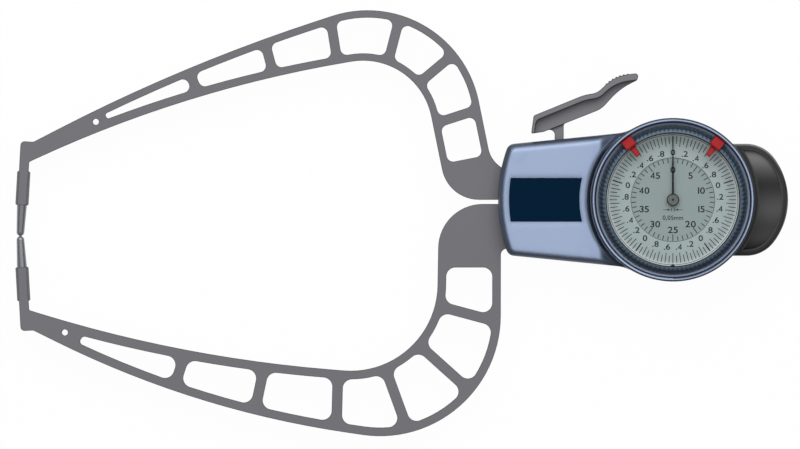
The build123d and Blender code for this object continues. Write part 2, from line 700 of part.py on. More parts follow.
def lever_pad_outline():
    """The wide pad along the lever's back, thin at the heel and thickest at the tip."""
    thicknesses = [LEVER_PAD_THICKNESS] * (len(LEVER_PAD) - 1)
    thicknesses[0] = LEVER_HEEL_THICKNESS
    thicknesses[-1] = LEVER_TIP_THICKNESS
    lines = []
    for i, thickness in enumerate(thicknesses):
        x0, y0, _ = LEVER_PAD[i]
        x1, y1, _ = LEVER_PAD[i + 1]
        length = hypot(x1 - x0, y1 - y0)
        x_in = thickness * (y1 - y0) / length
        y_in = -thickness * (x1 - x0) / length
        lines.append(((x0 + x_in, y0 + y_in), (x1 + x_in, y1 + y_in)))
    step = [lines[-1][1] + (0.0,)]
    for i in range(len(lines) - 1, 0, -1):
        radius = LEVER_HEEL_ROUND if i == 1 else LEVER_PAD[i][2]
        step.append(crossing(lines[i - 1], lines[i]) + (radius,))
    step.append(lines[0][0] + (0.0,))
    back = [LEVER_PAD[0][:2] + (0.0,)] + LEVER_PAD[1:-1] + [LEVER_PAD[-1][:2] + (0.0,)]
    return outline(back + step) & lever_web_outline()


def finger_lever():
    """The lever: web, post and foot, the wide pad and the grip ribs across its tip."""
    middle = (arm_top + post_top) / 2
    lever = slab(lever_web_outline(), arm_top, post_top)
    web_low = middle - LEVER_WEB_WIDTH / 2
    lever += slab(outline(LEVER_PAD + LEVER_UNDERSIDE), web_low, web_low + LEVER_WEB_WIDTH)
    pad_low = middle - LEVER_PAD_WIDTH / 2
    pad_high = pad_low + LEVER_PAD_WIDTH
    lever += slab(lever_pad_outline(), pad_low, pad_high)
    back = edge_path(LEVER_PAD)
    for i in range(GRIP_RIBS):
        along = GRIP_RIB_SPAN[0] + (GRIP_RIB_SPAN[1] - GRIP_RIB_SPAN[0]) * i / (GRIP_RIBS - 1)
        at = back @ along
        lever += disc(GRIP_RIB_RADIUS, pad_low + GRIP_RIB_INSET, pad_high - GRIP_RIB_INSET, (at.X, at.Y))
    return lever - holes(SMALL_SCREW, LEVER_SCREWS, arm_top, post_top, LOOSE_CLEARANCE / 2)


# Gears

def half_tooth(teeth, module, radius):
    """Half the angle that an involute tooth takes up at a radius, in radians."""
    pitch_radius = teeth * module / 2
    base_radius = pitch_radius * cos(radians(PRESSURE_ANGLE))
    opening = tan(radians(PRESSURE_ANGLE)) - radians(PRESSURE_ANGLE)
    roll = acos(base_radius / max(radius, base_radius))
    half = pi / (2 * teeth) - TOOTH_BACKLASH * module / (2 * pitch_radius)
    return half + opening - (tan(roll) - roll)


def tooth_points(teeth, module, centre, steps):
    """The outline of one tooth about a direction in degrees, from root over tip to root."""
    pitch_radius = teeth * module / 2
    root = pitch_radius - TOOTH_DEDENDUM * module
    tip = pitch_radius + TOOTH_ADDENDUM * module
    flank = [root + (tip - root) * i / (steps - 1) for i in range(steps)]
    rising = [(r, radians(centre) - half_tooth(teeth, module, r)) for r in flank]
    falling = [(r, radians(centre) + half_tooth(teeth, module, r)) for r in flank[::-1]]
    return [(r * cos(a), r * sin(a)) for r, a in rising + falling]


def gear(teeth, module, direction, steps):
    """A whole gear's face about the origin, with a tooth pointing in a direction."""
    points = []
    for i in range(teeth):
        points += tooth_points(teeth, module, direction + 360 * i / teeth, steps)
    return make_face(Polyline(*points, close=True))


def wheel_openings(rim_radius):
    """The openings between the spokes of a wheel."""
    opening = Circle(rim_radius) - Circle(WHEEL_HUB_RADIUS)
    for i in range(WHEEL_SPOKES):
        opening -= Rot(0, 0, 360 * i / WHEEL_SPOKES) * Pos(rim_radius / 2, 0) * Rectangle(
            rim_radius * 1.2, WHEEL_SPOKE_WIDTH
        )
    return opening


def spoked_wheel(teeth, module, direction, bore, low):
    """A spoked wheel of a train, about the origin."""
    rim_radius = teeth * module / 2 - TOOTH_DEDENDUM * module - WHEEL_RIM
    face = gear(teeth, module, direction, 2) - wheel_openings(rim_radius) - Circle(bore)
    return slab(face, low, low + WHEEL_THICKNESS)


def sector_screw_places():
    """Where the sector is screwed to the arm's hub."""
    places = []
    for angle in SECTOR_SCREW_ANGLES:
        a = radians(angle)
        places.append((PIVOT[0] + SECTOR_SCREW_RADIUS * cos(a), PIVOT[1] + SECTOR_SCREW_RADIUS * sin(a)))
    return places


def spoke(angle, length):
    """A tapered spoke of the sector from the pivot out to its rim."""
    half_root = SPOKE_ROOT_WIDTH / 2
    half_tip = SPOKE_TIP_WIDTH / 2
    face = make_face(
        Polyline((0, -half_root), (length, -half_tip), (length, half_tip), (0, half_root), close=True)
    )
    return Rot(0, 0, angle) * face


def gear_sector():
    """The toothed sector: a row of teeth on a rim, two spokes and a hub ring."""
    pitch_angle = 360 / SECTOR_TEETH
    count = ceil(swing / pitch_angle) + 2 * SPARE_SECTOR_TEETH + 1
    first = mesh_direction - (SPARE_SECTOR_TEETH + 0.5) * pitch_angle
    root = sector_radius - TOOTH_DEDENDUM * SECTOR_MODULE
    inner = root - SECTOR_RIM
    start = first - pitch_angle / 2
    end = first + (count - 0.5) * pitch_angle
    points = []
    for i in range(count):
        points += tooth_points(SECTOR_TEETH, SECTOR_MODULE, first + i * pitch_angle, 2)
    for i in range(count + 1):
        angle = radians(end + (start - end) * i / count)
        points.append((inner * cos(angle), inner * sin(angle)))
    face = make_face(Polyline(*points, close=True))
    face += spoke(start + 1, inner + 0.5) + spoke(end - 1, inner + 0.5) + Circle(SECTOR_HUB_RADIUS)
    face -= Circle(SECTOR_HUB_HOLE)
    sector = Pos(*PIVOT) * slab(face, sector_low, sector_top)
    notch_x = (PIVOT[0] + COIL_RADIUS - COIL_NOTCH / 2, PIVOT[0] + COIL_RADIUS + COIL_NOTCH / 2)
    notch_y = (PIVOT[1] - COIL_LEG - COIL_WIRE, PIVOT[1])
    sector -= block(notch_x, notch_y, sector_low, sector_top)
    return sector - holes(SMALL_SCREW, sector_screw_places(), sector_low, sector_top, LOOSE_CLEARANCE / 2)


def first_arbor():
    """The first arbor with its pinion, its collet and a pivot at each end."""
    pinion_face = gear(FIRST_PINION_TEETH, SECTOR_MODULE, mesh_direction + 180, 4)
    arbor = slab(pinion_face, pinion_low, pinion_top)
    arbor += disc(ARBOR_RADIUS, frame_top + PLATE_GAP / 2, movement_low - PLATE_GAP / 2)
    arbor += disc(ARBOR_PIVOT_RADIUS, frame_low + PLATE_GAP, movement_top - PLATE_GAP / 2)
    arbor += disc(COLLET_RADIUS, hairspring_low, hairspring_low + HAIRSPRING_HEIGHT)
    arbor += disc(WHEEL_HUB_RADIUS / 2, pinion_top, first_wheel_low)
    arbor += disc(WHEEL_HUB_RADIUS / 2, first_wheel_top, hour_wheel_low)
    return Pos(*first_arbor_at) * arbor


def centre_arbor():
    """The centre arbor with its pinion, reaching up through the dial to the long hand."""
    tooth_direction = centre_direction + 180
    pinion_face = gear(CENTRE_PINION_TEETH, WHEEL_MODULE, tooth_direction, 4)
    overhang = PLATE_GAP / 2
    arbor = slab(pinion_face, first_wheel_low - overhang, first_wheel_top + overhang)
    arbor += disc(ARBOR_RADIUS, frame_top + PLATE_GAP / 2, first_wheel_low - overhang)
    arbor += disc(ARBOR_PIVOT_RADIUS, frame_low + PLATE_GAP, first_wheel_low)
    arbor += disc(CENTRE_ARBOR_RADIUS, first_wheel_low, long_hand_top + CAP_HEIGHT / 2)
    return arbor


def first_wheel():
    """The large wheel on the first arbor, meshing with the centre pinion."""
    direction = centre_direction + 180 / FIRST_WHEEL_TEETH
    wheel = spoked_wheel(FIRST_WHEEL_TEETH, WHEEL_MODULE, direction, ARBOR_RADIUS, first_wheel_low)
    return Pos(*first_arbor_at) * wheel


def hour_drive_wheel():
    """The small wheel on the first arbor, driving the short hand's wheel."""
    wheel = spoked_wheel(HOUR_DRIVE_TEETH, hour_module, centre_direction, ARBOR_RADIUS, hour_wheel_low)
    return Pos(*first_arbor_at) * wheel


def hour_wheel():
    """The short hand's wheel with its tube round the centre arbor."""
    bore = CENTRE_ARBOR_RADIUS + RUNNING_CLEARANCE
    direction = centre_direction + 180 + 180 / HOUR_WHEEL_TEETH
    wheel = spoked_wheel(HOUR_WHEEL_TEETH, hour_module, direction, bore, hour_wheel_low)
    tube = disc(TUBE_RADIUS, hour_wheel_low, short_hand_top)
    return wheel + tube - disc(bore, hour_wheel_low, short_hand_top)


# Springs

def torsion_spring():
    """The coil that closes the arm: one leg in the sector's notch, one on the anchor."""
    low = hub_top + BUSH_FLANGE_THICKNESS + COIL_WIRE / 2 + CLOSE_GAP
    rise = COIL_TURNS * COIL_PITCH
    coil = Pos(PIVOT[0], PIVOT[1], low) * Helix(pitch=COIL_PITCH, height=rise, radius=COIL_RADIUS)
    first = coil @ 0
    last = coil @ 1
    legs = [
        Line((first.X, first.Y - COIL_LEG, first.Z), first),
        Line(last, (last.X, last.Y - COIL_LEG, last.Z)),
    ]
    section = Plane(origin=first, x_dir=(1, 0, 0), z_dir=coil % 0) * Rectangle(COIL_WIRE, COIL_WIRE)
    spring = sweep(section, path=coil, is_frenet=True)
    for leg in legs:
        middle = leg @ 0.5
        straight = Pos(middle.X, middle.Y, middle.Z) * Box(COIL_WIRE, COIL_LEG + COIL_WIRE, COIL_WIRE)
        spring = spring.fuse(straight, tol=JOIN_TOLERANCE)
    return spring


def spring_anchor():
    """The pin under the pivot bridge that the spring's upper leg bears on."""
    x = PIVOT[0] - COIL_RADIUS - COIL_WIRE / 2 - RUNNING_CLEARANCE - ANCHOR_RADIUS
    y = PIVOT[1] - COIL_LEG + ANCHOR_RADIUS
    return disc(ANCHOR_RADIUS, sector_top + LOOSE_CLEARANCE, pivot_bridge_top, (x, y))


def half_turns(offset):
    """The spiral's edge, as half circles whose centres alternate between two points."""
    step = (HAIRSPRING_OUTER - HAIRSPRING_INNER) / (2 * HAIRSPRING_TURNS)
    arcs = []
    for i in range(2 * HAIRSPRING_TURNS):
        radius = HAIRSPRING_INNER + i * step + offset
        side = -1 if i % 2 else 1
        x = step if i % 2 else 0
        arcs.append(ThreePointArc((x + side * radius, 0), (x, side * radius), (x - side * radius, 0)))
    return arcs


def hairspring():
    """A flat spiral strip between its collet on the arbor and its stud on the frame plate."""
    inner = half_turns(0)
    outer = half_turns(HAIRSPRING_THICKNESS)
    ends = [Line(inner[0] @ 0, outer[0] @ 0), Line(inner[-1] @ 1, outer[-1] @ 1)]
    face = make_face(inner + outer + ends)
    return Pos(*first_arbor_at) * slab(face, hairspring_low, hairspring_low + HAIRSPRING_HEIGHT)


def hairspring_stud():
    """The stud on the frame plate that holds the outer end of the hairspring."""
    x = first_arbor_at[0] + HAIRSPRING_OUTER + HAIRSPRING_THICKNESS + STUD_RADIUS + RUNNING_CLEARANCE
    return disc(STUD_RADIUS, frame_top, hairspring_low + HAIRSPRING_HEIGHT, (x, first_arbor_at[1]))


# Housing

def nose_outline():
    """The nose seen from the front: a rounded back, flaring towards the dial."""
    slope = tan(radians(NOSE_SLOPE))
    far = NOSE_BACK_X - NOSE_HALF_WIDTH
    wide = NOSE_HALF_WIDTH - slope * (NOSE_BACK_X - far)
    deep = NOSE_HALF_WIDTH - slope * NOSE_BACK_X
    flare = make_face(Polyline((far, wide), (0, deep), (0, -deep), (far, -wide), close=True))
    face = (flare & Pos(NOSE_BACK_X + NOSE_BACK_RADIUS, 0) * Circle(NOSE_BACK_RADIUS)).faces()[0]
    corners = face.vertices().sort_by(Axis.X)[:2]
    return face.fillet_2d(NOSE_CORNER_RADIUS, corners)


def housing_outline():
    """The whole housing seen from the front: nose and rim, blended where they meet."""
    face = (Sketch() + nose_outline() + Circle(rim_radius)).faces()[0]
    meeting = [v for v in face.vertices() if abs(hypot(v.X, v.Y) - rim_radius) < 0.01]
    meeting = [v for v in meeting if v.X < 0]
    return face.fillet_2d(NECK_BLEND_RADIUS, meeting)


def inset(face, amount):
    """A face made smaller all round."""
    return offset(face, amount=-amount, kind=Kind.INTERSECTION).faces()[0]


def shoulder_cut():
    """What is taken off the nose's front round the rim and towards the neck."""
    edge = NOSE_EDGE_RADIUS
    floor = neck_height - NECK_EDGE_RADIUS - 1
    high = nose_height + 1
    wall = shoulder_radius - edge
    ring_profile = make_face([
        Line((0, floor), (wall, floor)),
        Line((wall, floor), (wall, nose_height - edge)),
        RadiusArc((wall, nose_height - edge), (shoulder_radius, nose_height), edge),
        Line((shoulder_radius, nose_height), (shoulder_radius, high)),
        Line((shoulder_radius, high), (0, high)),
        Line((0, high), (0, floor)),
    ])
    slope_end = SHOULDER_X + (nose_height - floor) / tan(radians(SHOULDER_SLOPE))
    level = SHOULDER_X - SHOULDER_ROUND
    slope_profile = outline([
        (level, high, 0), (level, nose_height, 0), (SHOULDER_X, nose_height, SHOULDER_ROUND),
        (slope_end, floor, 0), (rim_radius, floor, 0), (rim_radius, high, 0),
    ])
    ring_cut = revolve(Plane.XZ * ring_profile, Axis.Z)
    slope_cut = extrude(Plane.XZ * slope_profile, amount=2 * rim_radius, both=True)
    return ring_cut + slope_cut


def panel_outline():
    """The bare name panel: its left edge follows the nose, its right edge the rim."""
    band = Pos(NOSE_BACK_X / 2, 0) * Rectangle(-NOSE_BACK_X, 2 * PANEL_HALF_HEIGHT)
    back = Pos(NOSE_BACK_X + NOSE_BACK_RADIUS, 0) * Circle(NOSE_BACK_RADIUS - PANEL_MARGIN)
    return (band & back) - Circle(shoulder_radius + PANEL_SHOULDER_GAP)


def arm_slot(inset_by):
    """The space in the nose's back wall that the arms come through."""
    opened = turned_about_pivot(MOVING_OUTER[-1][:2], swing)[1]
    low = ROOT_BOTTOM - ARM_SLOT_CLEARANCE + inset_by
    high = opened - inset_by
    return (NOSE_BACK_X - SHELL_WALL, NOSE_BACK_X + ARM_SLOT_DEPTH), (low, high)


def rim_funnel():
    """What opens the rim above the bezel's flange: a gentle cone and a steeper flank to the bead."""
    return turned([
        (rim_bore - 1, cone_low), (rim_bore, cone_low), (cone_outer, cone_top), (bead_inner, rim_height),
        (rim_bore - 1, rim_height),
    ])


def front_housing():
    """The painted front shell: nose, neck and rim in one casting, hollow from the back."""
    nose = slab(nose_outline(), shell_low, nose_height)
    nose_edges = nose.edges().filter_by(Plane.XY).group_by(Axis.Z)[-1]
    nose = fillet([e for e in nose_edges if e.center().X < -1], NOSE_EDGE_RADIUS) - shoulder_cut()
    base = slab(housing_outline(), shell_low, neck_height)
    base = fillet(base.edges().filter_by(Plane.XY).group_by(Axis.Z)[-1], NECK_EDGE_RADIUS)
    shell = base + nose + disc(rim_radius, shell_low, rim_height)
    inner_nose = inset(nose_outline(), SHELL_WALL)
    behind = SHOULDER_X - SHELL_WALL - NOSE_BACK_X
    behind_shoulder = Pos(NOSE_BACK_X + behind / 2, 0) * Rectangle(behind, 4 * NOSE_HALF_WIDTH)
    high_cavity = (inner_nose & behind_shoulder) - Circle(shoulder_radius - NOSE_EDGE_RADIUS + SHELL_WALL)
    shell -= slab(inset(housing_outline(), SHELL_WALL), shell_low, neck_height - SHELL_WALL)
    shell -= slab(high_cavity, shell_low, nose_height - SHELL_WALL)
    bosses = Part()
    for at in cover_bosses:
        top = nose_height - SHELL_WALL if at[0] < SHOULDER_X else neck_height - SHELL_WALL
        bosses += disc(COVER_BOSS_RADIUS, shell_low, top, at)
    shell = shell - disc(rim_cavity, shell_low, ledge_low)
    shell += bosses & slab(housing_outline(), shell_low, nose_height)
    shell -= disc(ledge_bore, ledge_low, rim_height)
    shell -= disc(rim_bore, bezel_flange_low - RUNNING_CLEARANCE, rim_height)
    shell -= rim_funnel()
    rim_top = shell.edges().filter_by(GeomType.CIRCLE).group_by(Axis.Z)[-1]
    shell = fillet(rim_top, RIM_BEAD_ROUND)
    groove_middle = ledge_low + LEDGE_THICKNESS / 2
    half = SEAL_WIRE_RADIUS + SEAL_GROOVE_CLEARANCE
    outer = ledge_bore + 2 * SEAL_WIRE_RADIUS + SEAL_GROOVE_CLEARANCE
    shell -= disc(outer, groove_middle - half, groove_middle + half) - disc(ledge_bore - 1, 0, rim_height)
    shell -= slab(panel_outline(), nose_height - PANEL_DEPTH, nose_height)
    slot_x, slot_y = arm_slot(0)
    shell -= block(slot_x, slot_y, shell_low, arm_top + ARM_SLOT_CLEARANCE)
    wall_y = (NOSE_HALF_WIDTH - SHELL_WALL, rim_radius)
    shell -= block(LEVER_SLOT_X, wall_y, arm_top - ARM_SLOT_CLEARANCE, post_top + ARM_SLOT_CLEARANCE)
    shell -= holes(COVER_SCREW, cover_bosses, shell_low, neck_height - SHELL_WALL - 1)
    return shell - palm_screw_seats() - palm_screw_holes()


def palm_screw_axis(y, x):
    """A plane across a palm rest screw's axis, facing into the palm rest."""
    return Plane(origin=(x, y, PALM_SCREW_HEIGHT), z_dir=(1, 0, 0))


def palm_screw_seats():
    """Flat seats in the wall for the heads of the palm rest's screws."""
    radius = SMALL_SCREW[0] + LOOSE_CLEARANCE
    seat = Cylinder(radius, 2 * SMALL_SCREW[0], align=(Align.CENTER, Align.CENTER, Align.MAX))
    return Part() + [palm_screw_axis(side * PALM_SCREW_Y, palm_seat_x) * seat for side in (-1, 1)]


def palm_screw_holes():
    """The holes for the shanks of the palm rest's screws."""
    hole = Cylinder(SMALL_SCREW[2], PALM_SCREW_DEPTH, align=(Align.CENTER, Align.CENTER, Align.MIN))
    return Part() + [palm_screw_axis(side * PALM_SCREW_Y, palm_seat_x) * hole for side in (-1, 1)]


def palm_rest_screws():
    """Two screws from inside the rim into the palm rest."""
    head_radius, head_height, shank_radius = SMALL_SCREW
    head = Cylinder(head_radius, head_height, align=(Align.CENTER, Align.CENTER, Align.MAX))
    shank = Cylinder(shank_radius, PALM_SCREW_DEPTH, align=(Align.CENTER, Align.CENTER, Align.MIN))
    return Part() + [palm_screw_axis(side * PALM_SCREW_Y, palm_seat_x) * (head + shank) for side in (-1, 1)]


def rear_cover():
    """The flat back with bosses for the frame plate and a tongue under the arms."""
    cover = slab(housing_outline(), 0, cover_top)
    cover = fillet(cover.edges().filter_by(Plane.XY).group_by(Axis.Z)[0], COVER_EDGE_RADIUS)
    cover += posts(FRAME_BOSS_RADIUS, cover_top, frame_low, FRAME_SCREWS)
    slot_x, slot_y = arm_slot(CLOSE_GAP)
    wall = slab(nose_outline() - inset(nose_outline(), SHELL_WALL), cover_top, arm_low - ARM_SLOT_CLEARANCE)
    cover += wall & block(slot_x, slot_y, cover_top, arm_low)
    cover -= holes(SMALL_SCREW, FRAME_SCREWS, cover_top, frame_low)
    cover -= posts(COVER_SCREW[0] + LOOSE_CLEARANCE, 0, COVER_SCREW[1] + LOOSE_CLEARANCE, cover_bosses)
    return cover - holes(COVER_SCREW, cover_bosses, 0, cover_top, LOOSE_CLEARANCE / 2)


def housing_gasket():
    """The flat gasket between the shell and the rear cover."""
    face = housing_outline() - inset(housing_outline(), SHELL_WALL)
    slot_x, slot_y = arm_slot(0)
    return slab(face, cover_top, shell_low) - block(slot_x, slot_y, cover_top, shell_low)


def cover_screws():
    """The screws through the back into the bosses of the shell."""
    turned_over = []
    for at in cover_bosses:
        single = screw(COVER_SCREW, (0, 0), 0, COVER_SCREW_LENGTH)
        turned_over.append(Pos(at[0], at[1], COVER_SCREW[1] + LOOSE_CLEARANCE) * Rot(180, 0, 0) * single)
    return Part() + turned_over


def palm_outline(inset_by):
    """The palm rest seen from the front, or its rim's inner edge: flat sides and a bowed end."""
    start = palm_rest_x - PALM_REST_END_RADIUS
    half = PALM_REST_HALF_WIDTH - inset_by
    end = Pos(start, 0) * Circle(PALM_REST_END_RADIUS - inset_by)
    sides = Pos((start + palm_rest_x) / 2, 0) * Rectangle(palm_rest_x - start, 2 * half)
    face = (sides & end).faces()[0]
    corners = [v for v in face.vertices() if v.X > start + 1 and abs(v.Y) > half - 1]
    return face.fillet_2d(PALM_REST_CORNER_RADIUS - inset_by, corners)


def palm_rest():
    """The moulded palm rest, fitted to the rim: a raised rim round a crowned face."""
    body = slab(palm_outline(0), PALM_REST_LOW, PALM_REST_HIGH)
    ends = body.edges().filter_by(Plane.XY).group_by(Axis.Z)
    body = fillet(ends[0] + ends[-1], PALM_REST_EDGE_RADIUS)
    crown_top = PALM_REST_HIGH - PALM_REST_RECESS
    half = PALM_REST_HALF_WIDTH - PALM_REST_RIM
    crown_radius = (half**2 + PALM_REST_CROWN**2) / (2 * PALM_REST_CROWN)
    crown = Pos(palm_rest_x / 2, 0, crown_top - crown_radius) * Rot(0, 90, 0)
    crown = crown * Cylinder(crown_radius, 2 * palm_rest_x)
    face = palm_outline(PALM_REST_RIM) - Circle(rim_radius + PALM_REST_COLLAR)
    low = crown_top - PALM_REST_CROWN
    body -= slab(face, low, PALM_REST_HIGH) - crown
    return body - disc(rim_radius, 0, rim_height) - palm_screw_holes()


def name_panel():
    """The bare panel let into the nose's front."""
    return slab(panel_outline(), nose_height - PANEL_DEPTH, nose_height - PANEL_DEPTH + PANEL_THICKNESS)


# Frame and movement

def frame_plate():
    """The plate that everything inside is mounted on."""
    face = inset(housing_outline(), SHELL_WALL + CAVITY_CLEARANCE)
    face -= Pos(rim_radius / 2, 0) * Rectangle(rim_radius, 2 * rim_radius) - Circle(FRAME_RADIUS)
    face -= Sketch() + [Pos(*at) * Circle(COVER_BOSS_RADIUS + CAVITY_CLEARANCE) for at in cover_bosses]
    whole = face.faces().sort_by(SortBy.AREA)[-1]
    plate = slab(whole, frame_low, frame_top) + arm_seats()
    plate -= disc(PIN_RADIUS, frame_low, frame_top, PIVOT)
    plate -= posts(ARBOR_BUSH_RADIUS, frame_low, frame_top, [first_arbor_at, (0, 0)])
    plate -= holes(SMALL_SCREW, FRAME_SCREWS, frame_low, frame_top, LOOSE_CLEARANCE / 2)
    plate -= holes(SMALL_SCREW, ARM_SCREWS + BRIDGE_POSTS, frame_low, arm_low)
    plate -= posts(DOWEL_RADIUS, frame_low, arm_low, ARM_DOWELS)
    return plate - holes(SMALL_SCREW, MOVEMENT_POSTS, frame_low, frame_top)


def pivot_pin():
    """The fixed pin that the swinging arm turns on."""
    pin = disc(PIN_RADIUS, frame_low, pivot_bridge_top, PIVOT)
    return chamfer(pin.edges().filter_by(GeomType.CIRCLE), PIN_CHAMFER)


def hub_bush(low, high, flange_low):
    """A flanged plain bush pressed into the arm's hub."""
    bush = disc(BUSH_RADIUS, low, high, PIVOT)
    bush += disc(BUSH_FLANGE_RADIUS, flange_low, flange_low + BUSH_FLANGE_THICKNESS, PIVOT)
    return bush - disc(PIN_RADIUS + RUNNING_CLEARANCE, low - 1, high + 1, PIVOT)


def pivot_bridge():
    """The plate over the pivot that holds the upper end of the pin."""
    face = Sketch() + Pos(*PIVOT) * Circle(BRIDGE_EYE_RADIUS)
    for at in BRIDGE_POSTS:
        face += Pos(*at) * Circle(BRIDGE_END_RADIUS)
        length = hypot(at[0] - PIVOT[0], at[1] - PIVOT[1])
        angle = degrees(atan2(at[1] - PIVOT[1], at[0] - PIVOT[0]))
        rib = Pos(length / 2, 0) * Rectangle(length, BRIDGE_RIB_WIDTH)
        face += Pos(*PIVOT) * Rot(0, 0, angle) * rib
    top = pivot_bridge_top
    bridge = slab(face, pivot_bridge_low, top) - disc(PIN_RADIUS, pivot_bridge_low, top, PIVOT)
    bridge -= holes(SMALL_SCREW, BRIDGE_POSTS, pivot_bridge_low, top, LOOSE_CLEARANCE / 2)
    return bridge - spring_anchor()


def bridge_pillars():
    """Pillars under the pivot bridge: two on the fixed arm's root, one on the frame plate."""
    pillars = posts(PILLAR_RADIUS, arm_top, pivot_bridge_low, BRIDGE_POSTS[:2])
    pillars += disc(PILLAR_RADIUS, frame_top, pivot_bridge_low, BRIDGE_POSTS[2])
    return pillars - holes(SMALL_SCREW, BRIDGE_POSTS, frame_top, pivot_bridge_low)


def bridge_screws():
    """Long screws through bridge, pillars and arm root into the frame plate."""
    seat = pivot_bridge_top
    return screws(SMALL_SCREW, BRIDGE_POSTS, seat, seat - frame_low)


def movement_plate():
    """The upper plate of the gear train, under the dial."""
    plate = disc(MOVEMENT_PLATE_RADIUS, movement_low, movement_top)
    plate -= disc(TUBE_BUSH_RADIUS, movement_low, movement_top)
    plate -= disc(ARBOR_BUSH_RADIUS, movement_low, movement_top, first_arbor_at)
    return plate - holes(SMALL_SCREW, MOVEMENT_POSTS, movement_low, movement_top, LOOSE_CLEARANCE / 2)


def movement_pillars():
    """Pillars between the frame plate and the movement plate."""
    pillars = posts(PILLAR_RADIUS, frame_top, movement_low, MOVEMENT_POSTS)
    return pillars - holes(SMALL_SCREW, MOVEMENT_POSTS, frame_top, movement_low)


def arbor_bushes():
    """The plain bushes that the arbors and the short hand's tube turn in."""
    pivot_bore = ARBOR_PIVOT_RADIUS + RUNNING_CLEARANCE
    tube_bore = TUBE_RADIUS + RUNNING_CLEARANCE
    lower = posts(ARBOR_BUSH_RADIUS, frame_low, frame_top, [first_arbor_at, (0, 0)])
    lower -= posts(pivot_bore, frame_low, frame_top, [first_arbor_at, (0, 0)])
    upper = disc(ARBOR_BUSH_RADIUS, movement_low, movement_top, first_arbor_at)
    upper -= disc(pivot_bore, movement_low, movement_top, first_arbor_at)
    tube = disc(TUBE_BUSH_RADIUS, movement_low, movement_top) - disc(tube_bore, movement_low, movement_top)
    return lower + upper + tube


def opening_stop():
    """The pin that the arm's lug meets when it has opened all the way."""
    edge = turned_about_pivot((LUG_X[1], STOP_HEIGHT_ON_LUG), swing)
    away = STOP_RADIUS + LOOSE_CLEARANCE
    at = (edge[0] + away * cos(radians(swing)), edge[1] - away * sin(radians(swing)))
    return disc(STOP_RADIUS, frame_top, arm_top, at)


# Dial, hands, bezel and markers

def hand(length, width, low, bore):
    """A thin hand pointing to twelve o'clock, with an eye round its arbor."""
    half = width / 2
    end = half * HAND_TAPER
    blade = make_face(Polyline((-half, 0), (-end, length), (end, length), (half, 0), close=True))
    face = Sketch() + blade + Circle(HAND_EYE_RADIUS) - Circle(bore)
    return slab(face, low, low + HAND_THICKNESS)


def hand_cap():
    """The cap over the hands, a low cone with a dimple."""
    low = long_hand_top
    cap = turned([(0, low), (CAP_BASE_RADIUS, low), (CAP_TOP_RADIUS, cap_top), (0, cap_top)])
    cap -= disc(CENTRE_ARBOR_RADIUS, low, low + CAP_HEIGHT / 2)
    return cap - disc(CAP_DIMPLE_RADIUS, cap_top - CAP_HEIGHT / 4, cap_top)


def dial_plate():
    """The dial, held in the bezel and turning with it, with a sunk middle and a notch at six o'clock."""
    plate = disc(seat_radius, dial_low, dial_top) - disc(DIAL_HOLE_RADIUS, dial_low, dial_top)
    plate -= disc(DIAL_RECESS_RADIUS, dial_top - DIAL_RECESS_DEPTH, dial_top)
    return plate - disc(DIAL_NOTCH_RADIUS, dial_low, dial_top, (0, -DIAL_RADIUS))


def dial_retainer():
    """The ring that holds the dial up against its shoulder in the bezel."""
    inner = DIAL_RADIUS - DIAL_EDGE / 2
    low = bezel_skirt_low + RUNNING_CLEARANCE
    return disc(seat_radius, low, dial_low) - disc(inner, low, dial_low)


def bezel_profile(grow):
    """The bezel's upper side as (radius, height) points, grown outwards by a clearance."""
    return [
        (seat_radius - grow, crystal_top), (seat_radius - grow, bezel_top + grow),
        (seat_radius + BEZEL_LIP + grow, bezel_top + grow), (knurl_inner + grow, knurl_top + grow),
        (knurl_outer + grow, bezel_flange_top + grow), (flange_radius + grow, bezel_flange_top + grow),
    ]


def bezel():
    """The knurled ring that is turned to set zero, with seats for dial and crystal."""
    profile = [
        (DIAL_RADIUS, dial_top), (DIAL_RADIUS, crystal_seat), (seat_radius, crystal_seat),
    ] + bezel_profile(0) + [
        (flange_radius, bezel_flange_low), (skirt_radius, bezel_flange_low),
        (skirt_radius, bezel_skirt_low), (seat_radius, bezel_skirt_low), (seat_radius, dial_top),
    ]
    ring = turned(profile)
    groove_low = ledge_low - RUNNING_CLEARANCE - SNAP_RING_THICKNESS
    groove = disc(rim_radius, groove_low, groove_low + SNAP_RING_THICKNESS)
    ring -= groove - disc(skirt_radius - SNAP_RING_WIDTH / 2, 0, rim_height)
    return ring - knurl_grooves() - index_nick()


def knurl_grooves():
    """The V grooves of the knurl, cut down the cone of the bezel."""
    rise = knurl_top - bezel_flange_top
    lean = degrees(atan2(knurl_outer - knurl_inner, rise))
    middle = (knurl_inner + knurl_outer) / 2
    half = pi * middle / KNURL_TEETH
    over = KNURL_OVERCUT
    notch = make_face(Polyline((-KNURL_DEPTH, 0), (over, -half), (over, half), close=True))
    bar = Rot(0, -lean, 0) * extrude(notch, amount=1.5 * rise, both=True)
    first = Pos(middle, 0, bezel_flange_top + rise / 2) * bar
    first = first & disc(rim_radius, bezel_flange_top, bezel_top + 1)
    return Part() + [Rot(0, 0, 360 * i / KNURL_TEETH) * first for i in range(KNURL_TEETH)]


def index_nick():
    """A small slanting nick in the bezel's smooth face, level with the dial's centre."""
    middle = (seat_radius + knurl_inner) / 2
    return Pos(middle, 0, bezel_top) * Rot(0, 0, -NICK_LEAN) * Box(NICK_LENGTH, NICK_WIDTH, 2 * NICK_DEPTH)


